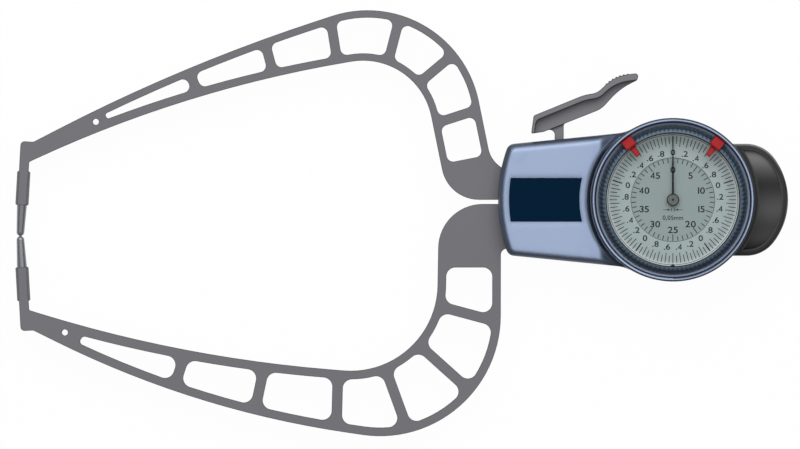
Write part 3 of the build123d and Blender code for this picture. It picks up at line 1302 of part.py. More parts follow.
def snap_ring():
    """The ring in the bezel's groove that keeps it in the rim."""
    low = ledge_low - RUNNING_CLEARANCE - SNAP_RING_THICKNESS
    inner = skirt_radius - SNAP_RING_WIDTH / 2
    ring = disc(inner + SNAP_RING_WIDTH, low, low + SNAP_RING_THICKNESS)
    ring -= disc(inner, low, low + SNAP_RING_THICKNESS)
    return ring - block((0, rim_radius), (-1, 1), low, low + SNAP_RING_THICKNESS)


def bezel_seal():
    """The round seal in the rim's groove, against the bezel's skirt."""
    height = ledge_low + LEDGE_THICKNESS / 2
    section = Plane.XZ * Pos(ledge_bore + SEAL_WIRE_RADIUS, height)
    section = section * RegularPolygon(SEAL_WIRE_RADIUS, SEAL_FACETS)
    return revolve(section, Axis.Z)


def crystal():
    """The clear crystal."""
    return disc(seat_radius, crystal_low, crystal_top)


def crystal_seal():
    """The flat seal under the crystal."""
    ring = disc(seat_radius, crystal_seat, crystal_low)
    return ring - disc(DIAL_RADIUS, crystal_seat, crystal_low)


def limit_marker(angle):
    """A clip that straddles the bezel, with a pointer over the crystal."""
    gap = MARKER_CLEARANCE
    top = bezel_top + gap + MARKER_THICKNESS
    low = crystal_top + gap
    inner = seat_radius - gap - MARKER_LEG
    wing_low = cone_top + MARKER_WING_GAP
    root_low = cone_low + MARKER_WING_GAP
    profile = outline([
        (inner, low, 0), (POINTER_REACH, low, 0), (POINTER_REACH, low + POINTER_THICKNESS, 0),
        (inner, low + POINTER_THICKNESS, 0), (inner + MARKER_LEG, top, MARKER_ROUND),
        (knurl_outer - MARKER_LEG, top, MARKER_ROUND),
        (cone_outer, wing_low + MARKER_WING_THICKNESS, MARKER_ROUND),
        (cone_outer, wing_low, 0), (flange_radius + gap, root_low, 0),
    ])
    solid = extrude(Plane.XZ * profile, amount=MARKER_WIDTH / 2, both=True)
    taper = (POINTER_ROOT_WIDTH - POINTER_WIDTH) / 2 / (inner - POINTER_REACH)
    at_axis = POINTER_WIDTH / 2 - taper * POINTER_REACH
    for side in (-1, 1):
        beside = make_face(Polyline(
            (0, side * at_axis), (inner, side * POINTER_ROOT_WIDTH / 2), (inner, side * MARKER_WIDTH),
            (0, side * MARKER_WIDTH), close=True,
        ))
        solid -= slab(beside, crystal_top, top)
    start = inner - gap
    bezel_space = turned([(start, 0), (start, low)] + bezel_profile(gap) + [(flange_radius + gap, 0)])
    return Rot(0, 0, 90 - angle) * (solid - bezel_space)


# The nodes, one STEP file each

def nodes():
    """Every piece of the caliper by name."""
    return {
        "rear_cover": rear_cover(),
        "front_housing": front_housing(),
        "housing_gasket": housing_gasket(),
        "cover_screws": cover_screws(),
        "name_panel": name_panel(),
        "palm_rest": palm_rest(),
        "palm_rest_screws": palm_rest_screws(),
        "frame_plate": frame_plate(),
        "frame_screws": screws(SMALL_SCREW, FRAME_SCREWS, frame_top, frame_top - cover_top),
        "fixed_arm": fixed_arm(),
        "fixed_arm_screws": screws(SMALL_SCREW, ARM_SCREWS, arm_top, arm_top - frame_low),
        "fixed_arm_dowels": posts(DOWEL_RADIUS, frame_low, arm_top, ARM_DOWELS),
        "fixed_tip": contact_tip(-1),
        "pivot_pin": pivot_pin(),
        "pivot_bridge": pivot_bridge(),
        "bridge_pillars": bridge_pillars(),
        "bridge_screws": bridge_screws(),
        "spring_anchor": spring_anchor(),
        "return_spring": torsion_spring(),
        "opening_stop": opening_stop(),
        "movement_plate": movement_plate(),
        "movement_pillars": movement_pillars(),
        "movement_screws": screws(SMALL_SCREW, MOVEMENT_POSTS, movement_top, movement_top - frame_low),
        "arbor_bushes": arbor_bushes(),
        "hairspring": hairspring(),
        "hairspring_stud": hairspring_stud(),
        "bezel_seal": bezel_seal(),
        "moving_arm": moving_arm(),
        "moving_tip": contact_tip(1),
        "hub_bush_lower": hub_bush(hub_low, arm_middle, hub_low - BUSH_FLANGE_THICKNESS),
        "hub_bush_upper": hub_bush(arm_middle, hub_top, hub_top),
        "finger_lever": finger_lever(),
        "lever_screws": screws(SMALL_SCREW, LEVER_SCREWS, post_top, post_top - arm_low),
        "gear_sector": gear_sector(),
        "sector_screws": screws(SMALL_SCREW, sector_screw_places(), sector_top, sector_top - arm_low),
        "first_arbor": first_arbor(),
        "first_wheel": first_wheel(),
        "hour_drive_wheel": hour_drive_wheel(),
        "centre_arbor": centre_arbor(),
        "long_hand": hand(long_hand_length, LONG_HAND_WIDTH, long_hand_low, CENTRE_ARBOR_RADIUS),
        "hand_cap": hand_cap(),
        "hour_wheel": hour_wheel(),
        "short_hand": hand(SHORT_HAND_LENGTH, SHORT_HAND_WIDTH, short_hand_low, TUBE_RADIUS),
        "bezel": bezel(),
        "bezel_snap_ring": snap_ring(),
        "dial_plate": dial_plate(),
        "dial_retainer": dial_retainer(),
        "crystal_seal": crystal_seal(),
        "crystal": crystal(),
        "limit_marker_left": limit_marker(-MARKER_ANGLE),
        "limit_marker_right": limit_marker(MARKER_ANGLE),
    }


os.makedirs("parts", exist_ok=True)
for name, shape in nodes().items():
    export_step(shape, "parts/" + name + ".step")
print("arm swing", round(swing, 4), "degrees, range", round(2 * reach * sin(radians(swing / 2)), 3), "mm")
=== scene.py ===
import bpy
import bmesh
import json
from math import cos, radians, sin, tau
from mathutils import Color, Matrix, Vector


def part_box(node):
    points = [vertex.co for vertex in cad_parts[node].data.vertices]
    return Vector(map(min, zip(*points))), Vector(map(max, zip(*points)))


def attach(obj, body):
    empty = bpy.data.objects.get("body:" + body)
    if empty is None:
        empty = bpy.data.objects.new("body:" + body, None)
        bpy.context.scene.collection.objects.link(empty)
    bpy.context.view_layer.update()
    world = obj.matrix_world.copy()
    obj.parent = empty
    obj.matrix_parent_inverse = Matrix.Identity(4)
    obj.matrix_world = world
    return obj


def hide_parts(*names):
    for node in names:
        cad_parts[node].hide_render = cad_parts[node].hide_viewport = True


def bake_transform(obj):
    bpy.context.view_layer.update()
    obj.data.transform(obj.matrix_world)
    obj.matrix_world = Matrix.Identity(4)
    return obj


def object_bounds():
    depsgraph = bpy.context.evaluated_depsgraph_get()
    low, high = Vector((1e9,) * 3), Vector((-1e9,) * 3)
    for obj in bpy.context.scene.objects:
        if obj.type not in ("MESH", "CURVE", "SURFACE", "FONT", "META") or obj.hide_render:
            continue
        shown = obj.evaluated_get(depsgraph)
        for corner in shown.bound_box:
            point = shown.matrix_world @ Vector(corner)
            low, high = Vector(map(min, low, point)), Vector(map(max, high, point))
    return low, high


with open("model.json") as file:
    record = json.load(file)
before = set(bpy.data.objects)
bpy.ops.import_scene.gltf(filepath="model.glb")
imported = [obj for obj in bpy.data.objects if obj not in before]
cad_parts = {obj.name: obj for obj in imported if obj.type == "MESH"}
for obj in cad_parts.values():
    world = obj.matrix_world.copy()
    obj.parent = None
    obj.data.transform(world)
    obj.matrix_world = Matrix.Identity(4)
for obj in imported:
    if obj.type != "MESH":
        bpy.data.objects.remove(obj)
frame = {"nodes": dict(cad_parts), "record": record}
cad_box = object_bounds()
cad = frame["nodes"]

# Sizes are in millimetres until MM turns them into metres, and bumps are in microns until MICRON does
MM = 0.001
MICRON = 1e-6

# Photograph: its width in pixels, the real size of a pixel, and the point at its centre
PHOTO_WIDTH = 800
PIXEL = 0.4
VIEW_CENTRE = (-109.08, -9.88)

# Camera: a lens so long that the view is nearly flat, and the height at which a pixel has its real size
LENS = 800
SENSOR = 36
FOCUS_HEIGHT = 15.0

# Camera: how near and how far it sees, in metres
CLIP_NEAR = 0.1
CLIP_FAR = 100.0

# Dial print: thickness of the ink, how far it sinks into the paint, and the steps that make a ring round
INK_THICKNESS = 0.02
INK_SINK = 0.005
RING_STEPS = 180

# Outer scale: a long tick at each tenth of a millimetre, a number at each second one, heavy ticks at 0
OUTER_TICKS = 100
TICKS_PER_TENTH = 2
TICKS_PER_NUMERAL = 4
TICKS_PER_ZERO = 20
OUTER_TICK_END = 25.3
OUTER_SHORT_TICK = 2.95
OUTER_LONG_TICK = 3.95
OUTER_TICK_WIDTH = 0.3
ZERO_TICK_WIDTH = 0.5
OUTER_NUMERAL_RADIUS = 18.95
OUTER_DIGIT_HEIGHT = 2.25
OUTER_DIGIT_WEIGHT = 0.055

# Inner scale: fifty ticks on the floor of the dial's recess, with a long one and a number at every fifth
INNER_TICKS = 50
INNER_NUMERAL_STEP = 5
INNER_TICK_END = 16.5
INNER_SHORT_TICK = 1.75
INNER_LONG_TICK = 2.7
INNER_TICK_WIDTH = 0.33
INNER_NUMERAL_RADIUS = 12.0
INNER_DIGIT_HEIGHT = 2.5
INNER_DIGIT_WEIGHT = 0.06
RECESS_RADIUS = 16.6
RECESS_DEPTH = 0.25

# Figures: how much wider than their font they are, and the gap between them as a share of their height
DIGIT_STRETCH = 1.17
FIGURE_GAP = 0.12

# Figure four, in shares of its height: its width, its stroke, and how far up its bar is
FOUR_WIDTH = 0.62
FOUR_STROKE = 0.09
FOUR_BAR = 0.27

# Figure four: where its stem stands, as a share of its width
FOUR_STEM = 0.74

# A printed border line near the edge of the dial, and a line of painted shade round its recess
BORDER_RADIUS = 26.0
RECESS_SHADE_LINE_RADIUS = 16.75
BORDER_WIDTH = 0.2

# Sign of a gap between two arrows
SIGN_Y = -4.0
STOP_X = 0.62
STOP_HALF_HEIGHT = 0.62
STOP_WIDTH = 0.26
ARROW_POINT_X = 1.0
ARROW_HEAD_LENGTH = 1.1
ARROW_HEAD_HALF_WIDTH = 0.45
ARROW_TAIL_X = 3.9
ARROW_WIDTH = 0.2

# Value of one tick, under the sign
TICK_VALUE = "0,05mm"
UNIT_Y = -7.15
UNIT_DIGIT_HEIGHT = 1.7
UNIT_DIGIT_WEIGHT = 0.03
UNIT_STRETCH = 1.03

# Painted edge shade: it is full at the first of these cosines of a surface's slope, and gone at the second
EDGE_DARK = 0.935
EDGE_LIGHT = 0.995

# Painted lines of shade or highlight along edges: their width, and the cosines of the surface's turn where
# they start and are full
LINE_WIDTH = 0.6
LINE_TURN = (0.999, 0.97)

# Housing paint: radii where it and its painted shadow change round the bezel, and the height where the
# painted shade on the rim's outer edge starts
BLUE_RING_RADIUS = 30.72
BEAD_INNER_RADIUS = 31.15
BEAD_OUTER_RADIUS = 32.05
BODY_RADIUS = 34.4
RIM_SHADE_HEIGHT = 24.2

# Rounded edges of the housing's body, which also spread its painted edge shade: how far they reach, and the
# rays that find them
SOFT_EDGE = 3.5
BEVEL_SAMPLES = 8

# Bezel paint: the radius where its knurl starts
KNURL_INNER_RADIUS = 28.2

# Dial paint: painted light turns it paler from this far inside the tick ends to this far outside them
RIM_LIGHT_SPREAD = 1.6

# Hand cap: the end of the arbor in its middle
ARBOR_END_RADIUS = 0.5

# Palm rest: half its width, the height of its rim, and its painted sheen as tones at shares of that half
# width
PALM_HALF_WIDTH = 22.4
PALM_RIM_HEIGHT = 18.2
PALM_PAINTED_SHEEN = ((-0.86, 42), (-0.7, 69), (-0.45, 68), (-0.15, 84), (0.3, 47), (0.6, 98), (0.8, 128))

# Noise: the middle of its values, and its layers of detail in clouds, grain and scratches
NOISE_MIDDLE = 0.5
CLOUD_DETAIL = 3
GRAIN_DETAIL = 2
SCRATCH_DETAIL = 3

# Paint and plastic: waves per metre of clouds and grain, how far they change it, and the grain's depth
CLOUD_SCALE = 35
GRAIN_SCALE = 2200
MOTTLE = 0.04
GRAIN = 0.05
GLOSS_SWING = 0.05
GRAIN_DEPTH = 4

# Bare metal: waves per metre of clouds and scratches, how far they change it, and the scratches' depth
METAL_CLOUD_SCALE = 60
SCRATCH_SCALE = 1500
METAL_MOTTLE = 0.05
SCRATCH_SWING = 0.12
SCRATCH_DEPTH = 2

# Crystal: waves per metre of its haze, the haze's layers of detail, and how far it changes the tint
HAZE_SCALE = 90
HAZE_DETAIL = 4
HAZE_SWING = 0.02

# Studio sky: its strength in the bright cap and at its sides, and in degrees the cap's core, edge and lean
SKY_CAP = 0.86
SKY_SIDES = 0.3
SKY_CORE_ANGLE = 32
SKY_EDGE_ANGLE = 62
SKY_LEAN = 20

# Studio lamps: degrees from overhead, watts, and sizes and distance in metres
KEY_TILT = 36
KEY_POWER = 15.0
KEY_SIZE = (2.0, 1.2)
FILL_TILT = -42
FILL_POWER = 0.3
FILL_SIZE = (0.9, 0.6)
LAMP_DISTANCE = 1.6

# Floor, in metres: half its size, and its gap to the object
FLOOR_HALF_SIZE = 20.0
FLOOR_GAP = 0.0001

# Floor: the colour that takes the shadow, the colour thrown back, and the share of its white that glows
FLOOR_COLOUR = (1, 1, 1)
FLOOR_BOUNCE = (0.35, 0.35, 0.35)
FLOOR_GLOW = 0.97


# Colours

SCREEN_WHITE = 255


def seen(red, green, blue):
    """A colour as it shows on a screen, 0 to 255, as the linear values that a shader takes."""
    shown = Color((red / SCREEN_WHITE, green / SCREEN_WHITE, blue / SCREEN_WHITE))
    return tuple(shown.from_srgb_to_scene_linear())


def opaque(colour):
    """A colour with full cover, as colour sockets take it."""
    return (*colour, 1.0)


HOUSING_FACE = seen(170, 188, 220)
# Painted shade on the housing's edges and walls
HOUSING_EDGE_SHADE = seen(80, 90, 108)
# Painted shade on the outer edge of the rim by the bead
HOUSING_RIM_EDGE_SHADE = seen(54, 61, 74)
# Painted shadow in the groove inside the bead
HOUSING_GROOVE_SHADOW = seen(46, 52, 62)
HOUSING_RING = seen(164, 179, 205)
COVER_BLUE = seen(132, 146, 176)
PANEL_NAVY = seen(2, 32, 56)
ARM_GREY = seen(119, 119, 124)
# Painted shade along the arms' edges
ARM_EDGE_SHADE = seen(88, 88, 92)
LEVER_GREY = seen(126, 125, 130)
# Painted shade along the lever's edges
LEVER_EDGE_SHADE = seen(58, 58, 61)
PALM_RIM = seen(54, 54, 55)
# Painted highlight along the palm rest's edges
PALM_EDGE_HIGHLIGHT = seen(82, 82, 83)
TIP_GREY = seen(146, 147, 151)
ALUMINIUM_GREY = seen(200, 201, 204)
STEEL_GREY = seen(170, 171, 174)
BRASS_YELLOW = seen(205, 176, 110)
BRONZE_BROWN = seen(176, 128, 84)
RUBBER_BLACK = seen(28, 28, 29)
BEZEL_BLUE = seen(85, 104, 121)
BEZEL_KNURL = seen(58, 70, 83)
MATT_BLACK = seen(40, 41, 43)
DIAL_MIDDLE = seen(167, 182, 182)
DIAL_RING = seen(188, 203, 203)
# Painted light on the dial's rim, against the shade of the bezel
DIAL_RIM_LIGHT = seen(244, 250, 248)
HAND_INK = seen(5, 5, 6)
CAP_FACE = seen(112, 118, 115)
# Painted shade on the hand cap's sloped sides
CAP_EDGE_SHADE = seen(50, 53, 52)
ARBOR_END = seen(30, 31, 31)
CRYSTAL_TINT = seen(60, 66, 66)
RED = seen(180, 44, 47)
# Painted shade along the markers' edges
RED_EDGE_SHADE = seen(74, 16, 18)
INK_GREY = seen(44, 48, 49)
INK_BLACK = seen(24, 26, 27)
# Pale ink of the border line, also used for the painted shade round the recess
INK_PALE_AND_SHADE = seen(76, 84, 83)


# Objects and nodes

def in_scene(name, data):
    """A new object in the scene."""
    thing = bpy.data.objects.new(name, data)
    bpy.context.scene.collection.objects.link(thing)
    return thing


class Nodes:
    """The node tree of a material or world, empty at first, with short ways to fill it."""

    def __init__(self, owner):
        owner.use_nodes = True
        self.tree = owner.node_tree
        self.tree.nodes.clear()

    def add(self, kind, **settings):
        """A new node of a kind, with some of its settings."""
        node = self.tree.nodes.new("ShaderNode" + kind)
        for name, value in settings.items():
            setattr(node, name, value)
        return node

    def feed(self, target, value):
        """Links an output to a socket, or sets the socket to a number, vector or colour."""
        if isinstance(value, bpy.types.NodeSocket):
            self.tree.links.new(value, target)
        elif target.type == "RGBA":
            target.default_value = opaque(value)
        else:
            target.default_value = value

    def math(self, kind, first, second):
        """A math operation on two outputs or numbers."""
        node = self.add("Math", operation=kind)
        self.feed(node.inputs[0], first)
        self.feed(node.inputs[1], second)
        return node.outputs[0]

    def vector(self, kind, first, second=(0, 0, 0)):
        """The node of an operation on vectors."""
        node = self.add("VectorMath", operation=kind)
        self.feed(node.inputs[0], first)
        self.feed(node.inputs[1], second)
        return node

    def part(self, vector, axis):
        """The part of a vector along X, Y or Z."""
        split = self.add("SeparateXYZ")
        self.feed(split.inputs[0], vector)
        return split.outputs[axis]

    def ramp(self, value, start, end, low=0.0, high=1.0):
        """A smooth step from low at start to high at end."""
        node = self.add("MapRange", interpolation_type="SMOOTHSTEP")
        self.feed(node.inputs["Value"], value)
        self.feed(node.inputs["From Min"], start)
        self.feed(node.inputs["From Max"], end)
        self.feed(node.inputs["To Min"], low)
        self.feed(node.inputs["To Max"], high)
        return node.outputs["Result"]

    def mix(self, share, first, second, kind="RGBA"):
        """A colour between two colours, or a vector between two vectors where kind is VECTOR."""
        ending = "_Color" if kind == "RGBA" else "_Vector"
        node = self.add("Mix", data_type=kind)
        inputs = {socket.identifier: socket for socket in node.inputs}
        outputs = {socket.identifier: socket for socket in node.outputs}
        self.feed(inputs["Factor_Float"], share)
        self.feed(inputs["A" + ending], first)
        self.feed(inputs["B" + ending], second)
        return outputs["Result" + ending]

    def mix_shaders(self, share, first, second):
        """A shader between two shaders."""
        node = self.add("MixShader")
        for socket, value in zip(node.inputs, (share, first, second)):
            self.feed(socket, value)
        return node.outputs[0]


class Material(Nodes):
    """A material round one Principled shader, with short ways to paint it."""

    def __init__(self, name):
        self.data = bpy.data.materials.new(name)
        super().__init__(self.data)
        self.shader = self.add("BsdfPrincipled")
        self.coordinates = self.add("TexCoord").outputs
        self.feed(self.add("OutputMaterial").inputs["Surface"], self.shader.outputs[0])

    def set(self, **values):
        """Feeds the shader's sockets by name, with _ for a space."""
        for name, value in values.items():
            self.feed(self.shader.inputs[name.replace("_", " ")], value)

    def noise(self, scale, detail, finer=(1, 1, 1)):
        """A noise in the object's coordinates, in waves per metre, finer by some times along each axis."""
        mapping = self.add("Mapping")
        self.feed(mapping.inputs["Vector"], self.coordinates["Object"])
        self.feed(mapping.inputs["Scale"], finer)
        texture = self.add("TexNoise")
        self.feed(texture.inputs["Vector"], mapping.outputs[0])
        self.feed(texture.inputs["Scale"], scale)
        self.feed(texture.inputs["Detail"], detail)
        return texture.outputs[0]

    def spread(self, noise, amount, middle=1.0):
        """A noise from 0 to 1 turned into middle plus or minus an amount."""
        swing = self.math("MULTIPLY", self.math("SUBTRACT", noise, NOISE_MIDDLE), amount / NOISE_MIDDLE)
        return self.math("ADD", swing, middle)

    def tint(self, colour, *factors):
        """Paints the base with a colour times some factors."""
        for factor in factors:
            node = self.vector("SCALE", colour)
            self.feed(node.inputs["Scale"], factor)
            colour = node.outputs[0]
        self.set(Base_Color=colour)

    def bump(self, height, depth, direction=None):
        """Bumps of a real depth in microns, on the surface's own direction or another."""
        node = self.add("Bump")
        self.feed(node.inputs["Height"], height)
        self.feed(node.inputs["Distance"], depth * MICRON)
        if direction is not None:
            self.feed(node.inputs["Normal"], direction)
        self.set(Normal=node.outputs[0])

    def axis_distance(self):
        """The distance from the hands' axis, in metres."""
        across = self.vector("MULTIPLY", self.coordinates["Object"], (1, 1, 0))
        return self.vector("LENGTH", across.outputs[0]).outputs["Value"]

    def beyond(self, value, limit):
        """1 where a value in metres is over a limit in millimetres, 0 elsewhere."""
        return self.math("GREATER_THAN", value, limit * MM)

    def within(self, value, limit):
        """1 where a value in metres is under a limit in millimetres, 0 elsewhere."""
        return self.math("LESS_THAN", value, limit * MM)

    def faces_up(self, direction):
        """1 where a direction is straight out of the dial side, 0 on edges and walls, where painted shade
        goes.
        """
        return self.ramp(self.part(direction, "Z"), EDGE_DARK, EDGE_LIGHT)

    def own_direction(self):
        """The surface's own direction in the world."""
        return self.add("NewGeometry").outputs["Normal"]

    def softened(self, radius):
        """The surface's direction in the world, rounded over within a radius of its edges."""
        node = self.add("Bevel", samples=BEVEL_SAMPLES)
        self.feed(node.inputs["Radius"], radius * MM)
        return node.outputs["Normal"]

    def near_edge(self):
        """1 on a thin line along every edge, where shade or a highlight is painted, 0 elsewhere."""
        turn = self.vector("DOT_PRODUCT", self.softened(LINE_WIDTH), self.own_direction())
        return self.ramp(turn.outputs["Value"], *LINE_TURN)

    def tones(self, value, stops):
        """A grey that runs through tones, 0 to 255, at places along a value."""
        node = self.add("ValToRGB")
        node.color_ramp.interpolation = "CARDINAL"
        first = stops[0][0]
        span = stops[-1][0] - first
        points = node.color_ramp.elements
        while len(points) < len(stops):
            points.new(position=0.5)
        for point, (place, tone) in zip(points, stops):
            point.position = (place - first) / span
            point.color = opaque(seen(tone, tone, tone))
        self.feed(node.inputs[0], self.math("DIVIDE", self.math("SUBTRACT", value, first), span))
        return node.outputs[0]

    def coat(self, colour, roughness, specular, mottle=MOTTLE, grain=GRAIN, grain_scale=GRAIN_SCALE,
             depth=GRAIN_DEPTH, direction=None):
        """An even colour with slight clouds and a fine grain, which also dull and dent it."""
        clouds = self.noise(CLOUD_SCALE, CLOUD_DETAIL)
        fine = self.noise(grain_scale, GRAIN_DETAIL)
        self.tint(colour, self.spread(clouds, mottle), self.spread(fine, grain))
        self.set(Roughness=self.spread(clouds, GLOSS_SWING, roughness), Specular_IOR_Level=specular)
        self.bump(fine, depth, direction)


# Materials

def coated(name, colour, roughness, specular, line=None, **grain):
    """Paint, anodising or plastic, with a thin line of painted shade along its edges where a line colour is
    given.
    """
    material = Material(name)
    if line is not None:
        # Painted shade along the edges, in the line colour
        colour = material.mix(material.near_edge(), colour, line)
    material.coat(colour, roughness, specular, **grain)
    return material.data


def metal(name, colour, roughness, finer, scratch_scale=SCRATCH_SCALE):
    """Bare metal with scratches, finer by some times along each axis."""
    material = Material(name)
    clouds = material.noise(METAL_CLOUD_SCALE, CLOUD_DETAIL)
    scratches = material.noise(scratch_scale, SCRATCH_DETAIL, finer)
    material.tint(colour, material.spread(clouds, METAL_MOTTLE), material.spread(scratches, SCRATCH_SWING))
    material.set(Roughness=material.spread(scratches, SCRATCH_SWING, roughness), Metallic=1.0)
    material.bump(scratches, SCRATCH_DEPTH)
    return material.data


def housing_enamel():
    """Metallic light blue paint, with painted shade: slate on edges and walls, dark round the bead, and blue
    again on the ring inside it.
    """
    material = Material("housing_enamel")
    radius = material.axis_distance()
    on_body = material.beyond(radius, BODY_RADIUS)
    direction = material.mix(on_body, material.own_direction(), material.softened(SOFT_EDGE), kind="VECTOR")
    # Painted shade: slate where the surface turns away from the dial side
    paint = material.mix(material.faces_up(direction), HOUSING_EDGE_SHADE, HOUSING_FACE)
    outside_bead = material.beyond(radius, BEAD_OUTER_RADIUS)
    high_up = material.beyond(material.part(material.coordinates["Object"], "Z"), RIM_SHADE_HEIGHT)
    # Painted shade on the rim's outer edge, above a height and outside the bead
    paint = material.mix(material.math("MULTIPLY", outside_bead, high_up), paint, HOUSING_RIM_EDGE_SHADE)
    # Painted shadow in the groove between the bead and the blue ring
    paint = material.mix(material.within(radius, BEAD_INNER_RADIUS), paint, HOUSING_GROOVE_SHADOW)
    on_ring = material.within(radius, BLUE_RING_RADIUS)
    paint = material.mix(on_ring, paint, HOUSING_RING)
    material.coat(paint, roughness=0.32, specular=0.5, mottle=0.02, grain=0.02, grain_scale=900, depth=2,
                  direction=direction)
    material.set(Metallic=material.ramp(on_ring, 0.0, 1.0, low=0.45, high=0.0))
    return material.data


def cover_enamel():
    """The back cover's plain light blue paint."""
    return coated("cover_enamel", COVER_BLUE, roughness=0.4, specular=0.5, mottle=0.03, grain_scale=900)


def panel_navy():
    """The panel's matt navy blue."""
    return coated("panel_navy", PANEL_NAVY, roughness=0.6, specular=0.03, mottle=0.05, grain_scale=1500,
                  depth=2)


def arm_anodised():
    """The arms' grey anodising, with slightly darker painted shade along their edges."""
    return coated("arm_anodised", ARM_GREY, roughness=0.5, specular=0.35, line=ARM_EDGE_SHADE, grain_scale=3000)


def lever_anodised():
    """The finger lever's grey anodising, with much darker painted shade along its edges."""
    return coated("lever_anodised", LEVER_GREY, roughness=0.5, specular=0.35, line=LEVER_EDGE_SHADE,
                  grain_scale=3000)


def tip_steel():
    """The contact tips' steel, turned about Y."""
    return metal("tip_steel", TIP_GREY, roughness=0.36, finer=(1, 30, 1), scratch_scale=900)


def palm_plastic():
    """Dark glossy plastic with a painted sheen across its face, a darker rim and a painted highlight along
    its edges.
    """
    material = Material("palm_plastic")
    place = material.coordinates["Object"]
    across = material.math("DIVIDE", material.part(place, "Y"), PALM_HALF_WIDTH * MM)
    on_rim = material.beyond(material.part(place, "Z"), PALM_RIM_HEIGHT)
    # Painted sheen: grey tones across the face, from its lower to its upper edge
    face = material.mix(on_rim, material.tones(across, PALM_PAINTED_SHEEN), PALM_RIM)
    # Painted highlight along the edges
    paint = material.mix(material.near_edge(), face, PALM_EDGE_HIGHLIGHT)
    material.coat(paint, roughness=0.36, specular=0.15, grain_scale=1400, depth=5)
    return material.data


def milled_aluminium():
    """Bare aluminium, milled along X."""
    return metal("milled_aluminium", ALUMINIUM_GREY, roughness=0.35, finer=(1, 12, 1))


def ground_steel():
    """Bare steel, ground along Y."""
    return metal("ground_steel", STEEL_GREY, roughness=0.3, finer=(12, 1, 1))


def turned_brass():
    """Bare brass, brushed along X."""
    return metal("turned_brass", BRASS_YELLOW, roughness=0.32, finer=(1, 10, 1))


def turned_bronze():
    """Bare bronze, turned about Z."""
    return metal("turned_bronze", BRONZE_BROWN, roughness=0.4, finer=(1, 1, 12))


def black_rubber():
    """Matt black rubber with a coarse grain."""
    return coated("black_rubber", RUBBER_BLACK, roughness=0.8, specular=0.2, grain=0.1, grain_scale=1200,
                  depth=8)


def bezel_slate():
    """Slate blue of the bezel, darker on its knurl."""
    material = Material("bezel_slate")
    knurl = material.beyond(material.axis_distance(), KNURL_INNER_RADIUS)
    material.coat(material.mix(knurl, BEZEL_BLUE, BEZEL_KNURL), roughness=0.42, specular=0.4, mottle=0.03,
                  grain=0.03, grain_scale=1600, depth=2)
    material.set(Metallic=0.1)
    return material.data


def retainer_black():
    """Matt black of the ring that holds the dial."""
    return coated("retainer_black", MATT_BLACK, roughness=0.7, specular=0.25, grain_scale=1200)


def dial_paint():
    """The dial's matt paint: a darker middle, a paler outer ring, and a very pale rim of painted light
    against the bezel's shade.
    """
    material = Material("dial_paint")
    radius = material.axis_distance()
    # Painted light: the rim grows pale about the tick ends
    rim_light = material.ramp(radius, (OUTER_TICK_END - RIM_LIGHT_SPREAD) * MM, (OUTER_TICK_END + RIM_LIGHT_SPREAD) * MM)
    ring = material.mix(rim_light, DIAL_RING, DIAL_RIM_LIGHT)
    paint = material.mix(material.beyond(radius, RECESS_RADIUS), DIAL_MIDDLE, ring)
    material.coat(paint, roughness=0.55, specular=0.2, mottle=0.02, grain=0.02, grain_scale=1800, depth=1)
    return material.data


def hand_black():
    """The hands' black."""
    return coated("hand_black", HAND_INK, roughness=0.5, specular=0.12, grain_scale=2500, depth=1)


def hand_cap_grey():
    """The grey cap of the hands, with painted shade on its sloped sides and the dark end of the arbor in its
    middle.
    """
    material = Material("hand_cap_grey")
    # Painted shade where the cap turns away from the dial side
    cap = material.mix(material.faces_up(material.coordinates["Normal"]), CAP_EDGE_SHADE, CAP_FACE)
    paint = material.mix(material.within(material.axis_distance(), ARBOR_END_RADIUS), cap, ARBOR_END)
    material.coat(paint, roughness=0.45, specular=0.4, mottle=0.03, grain_scale=2500, depth=2)
    return material.data


def crystal_clear():
    """The clear crystal, with faint cleaning haze."""
    material = Material("crystal_clear")
    haze = material.noise(HAZE_SCALE, HAZE_DETAIL)
    material.tint(CRYSTAL_TINT, material.spread(haze, HAZE_SWING))
    material.set(Roughness=0.03, IOR=1.49, Alpha=0.05, Specular_IOR_Level=0.12)
    material.data.surface_render_method = "BLENDED"
    return material.data


def marker_red():
    """The limit markers' red, with dark painted shade on their edges."""
    return coated("marker_red", RED, roughness=0.45, specular=0.15, line=RED_EDGE_SHADE, grain_scale=1500)


def dial_ink(name, colour, depth):
    """Matt printing ink."""
    return coated(name, colour, roughness=0.6, specular=0.2, mottle=0.05, grain=0.1, grain_scale=4000,
                  depth=depth)


# The record's material slots, each with the function that makes its material
FINISHES = {
    "housing_paint": housing_enamel,
    "back_cover": cover_enamel,
    "name_panel": panel_navy,
    "arm_anodised": arm_anodised,
    "lever_anodised": lever_anodised,
    "tip_steel": tip_steel,
    "palm_rest": palm_plastic,
    "bare_aluminium": milled_aluminium,
    "steel": ground_steel,
    "brass": turned_brass,
    "bronze": turned_bronze,
    "rubber": black_rubber,
    "bezel_metal": bezel_slate,
    "matte_ring": retainer_black,
    "dial": dial_paint,
    "hand_black": hand_black,
    "hand_cap": hand_cap_grey,
    "crystal": crystal_clear,
    "marker_red": marker_red,
}


def dress_nodes():
    """Gives each CAD node the material of its slot."""
    materials = {slot: finish() for slot, finish in FINISHES.items()}
    for part in frame["record"]["subparts"]:
        worn = cad[part["node"]].data.materials
        worn.clear()
        worn.append(materials[part["material_slot"]])


# Return spring

def winding_spring():
    """A copy of the return spring's mesh, standing in place of its CAD node."""
    spring = in_scene("return_spring_coil", cad["return_spring"].data.copy())
    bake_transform(spring)
    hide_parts("return_spring")


# Shapes of the dial's print, in millimetres

def clock(turn, radius):
    """A point on the dial, by the share of a turn clockwise from twelve o'clock."""
    return Vector((radius * sin(tau * turn), radius * cos(tau * turn), 0))


def flat(x, y):
    """A point on the dial."""
    return Vector((x, y, 0))


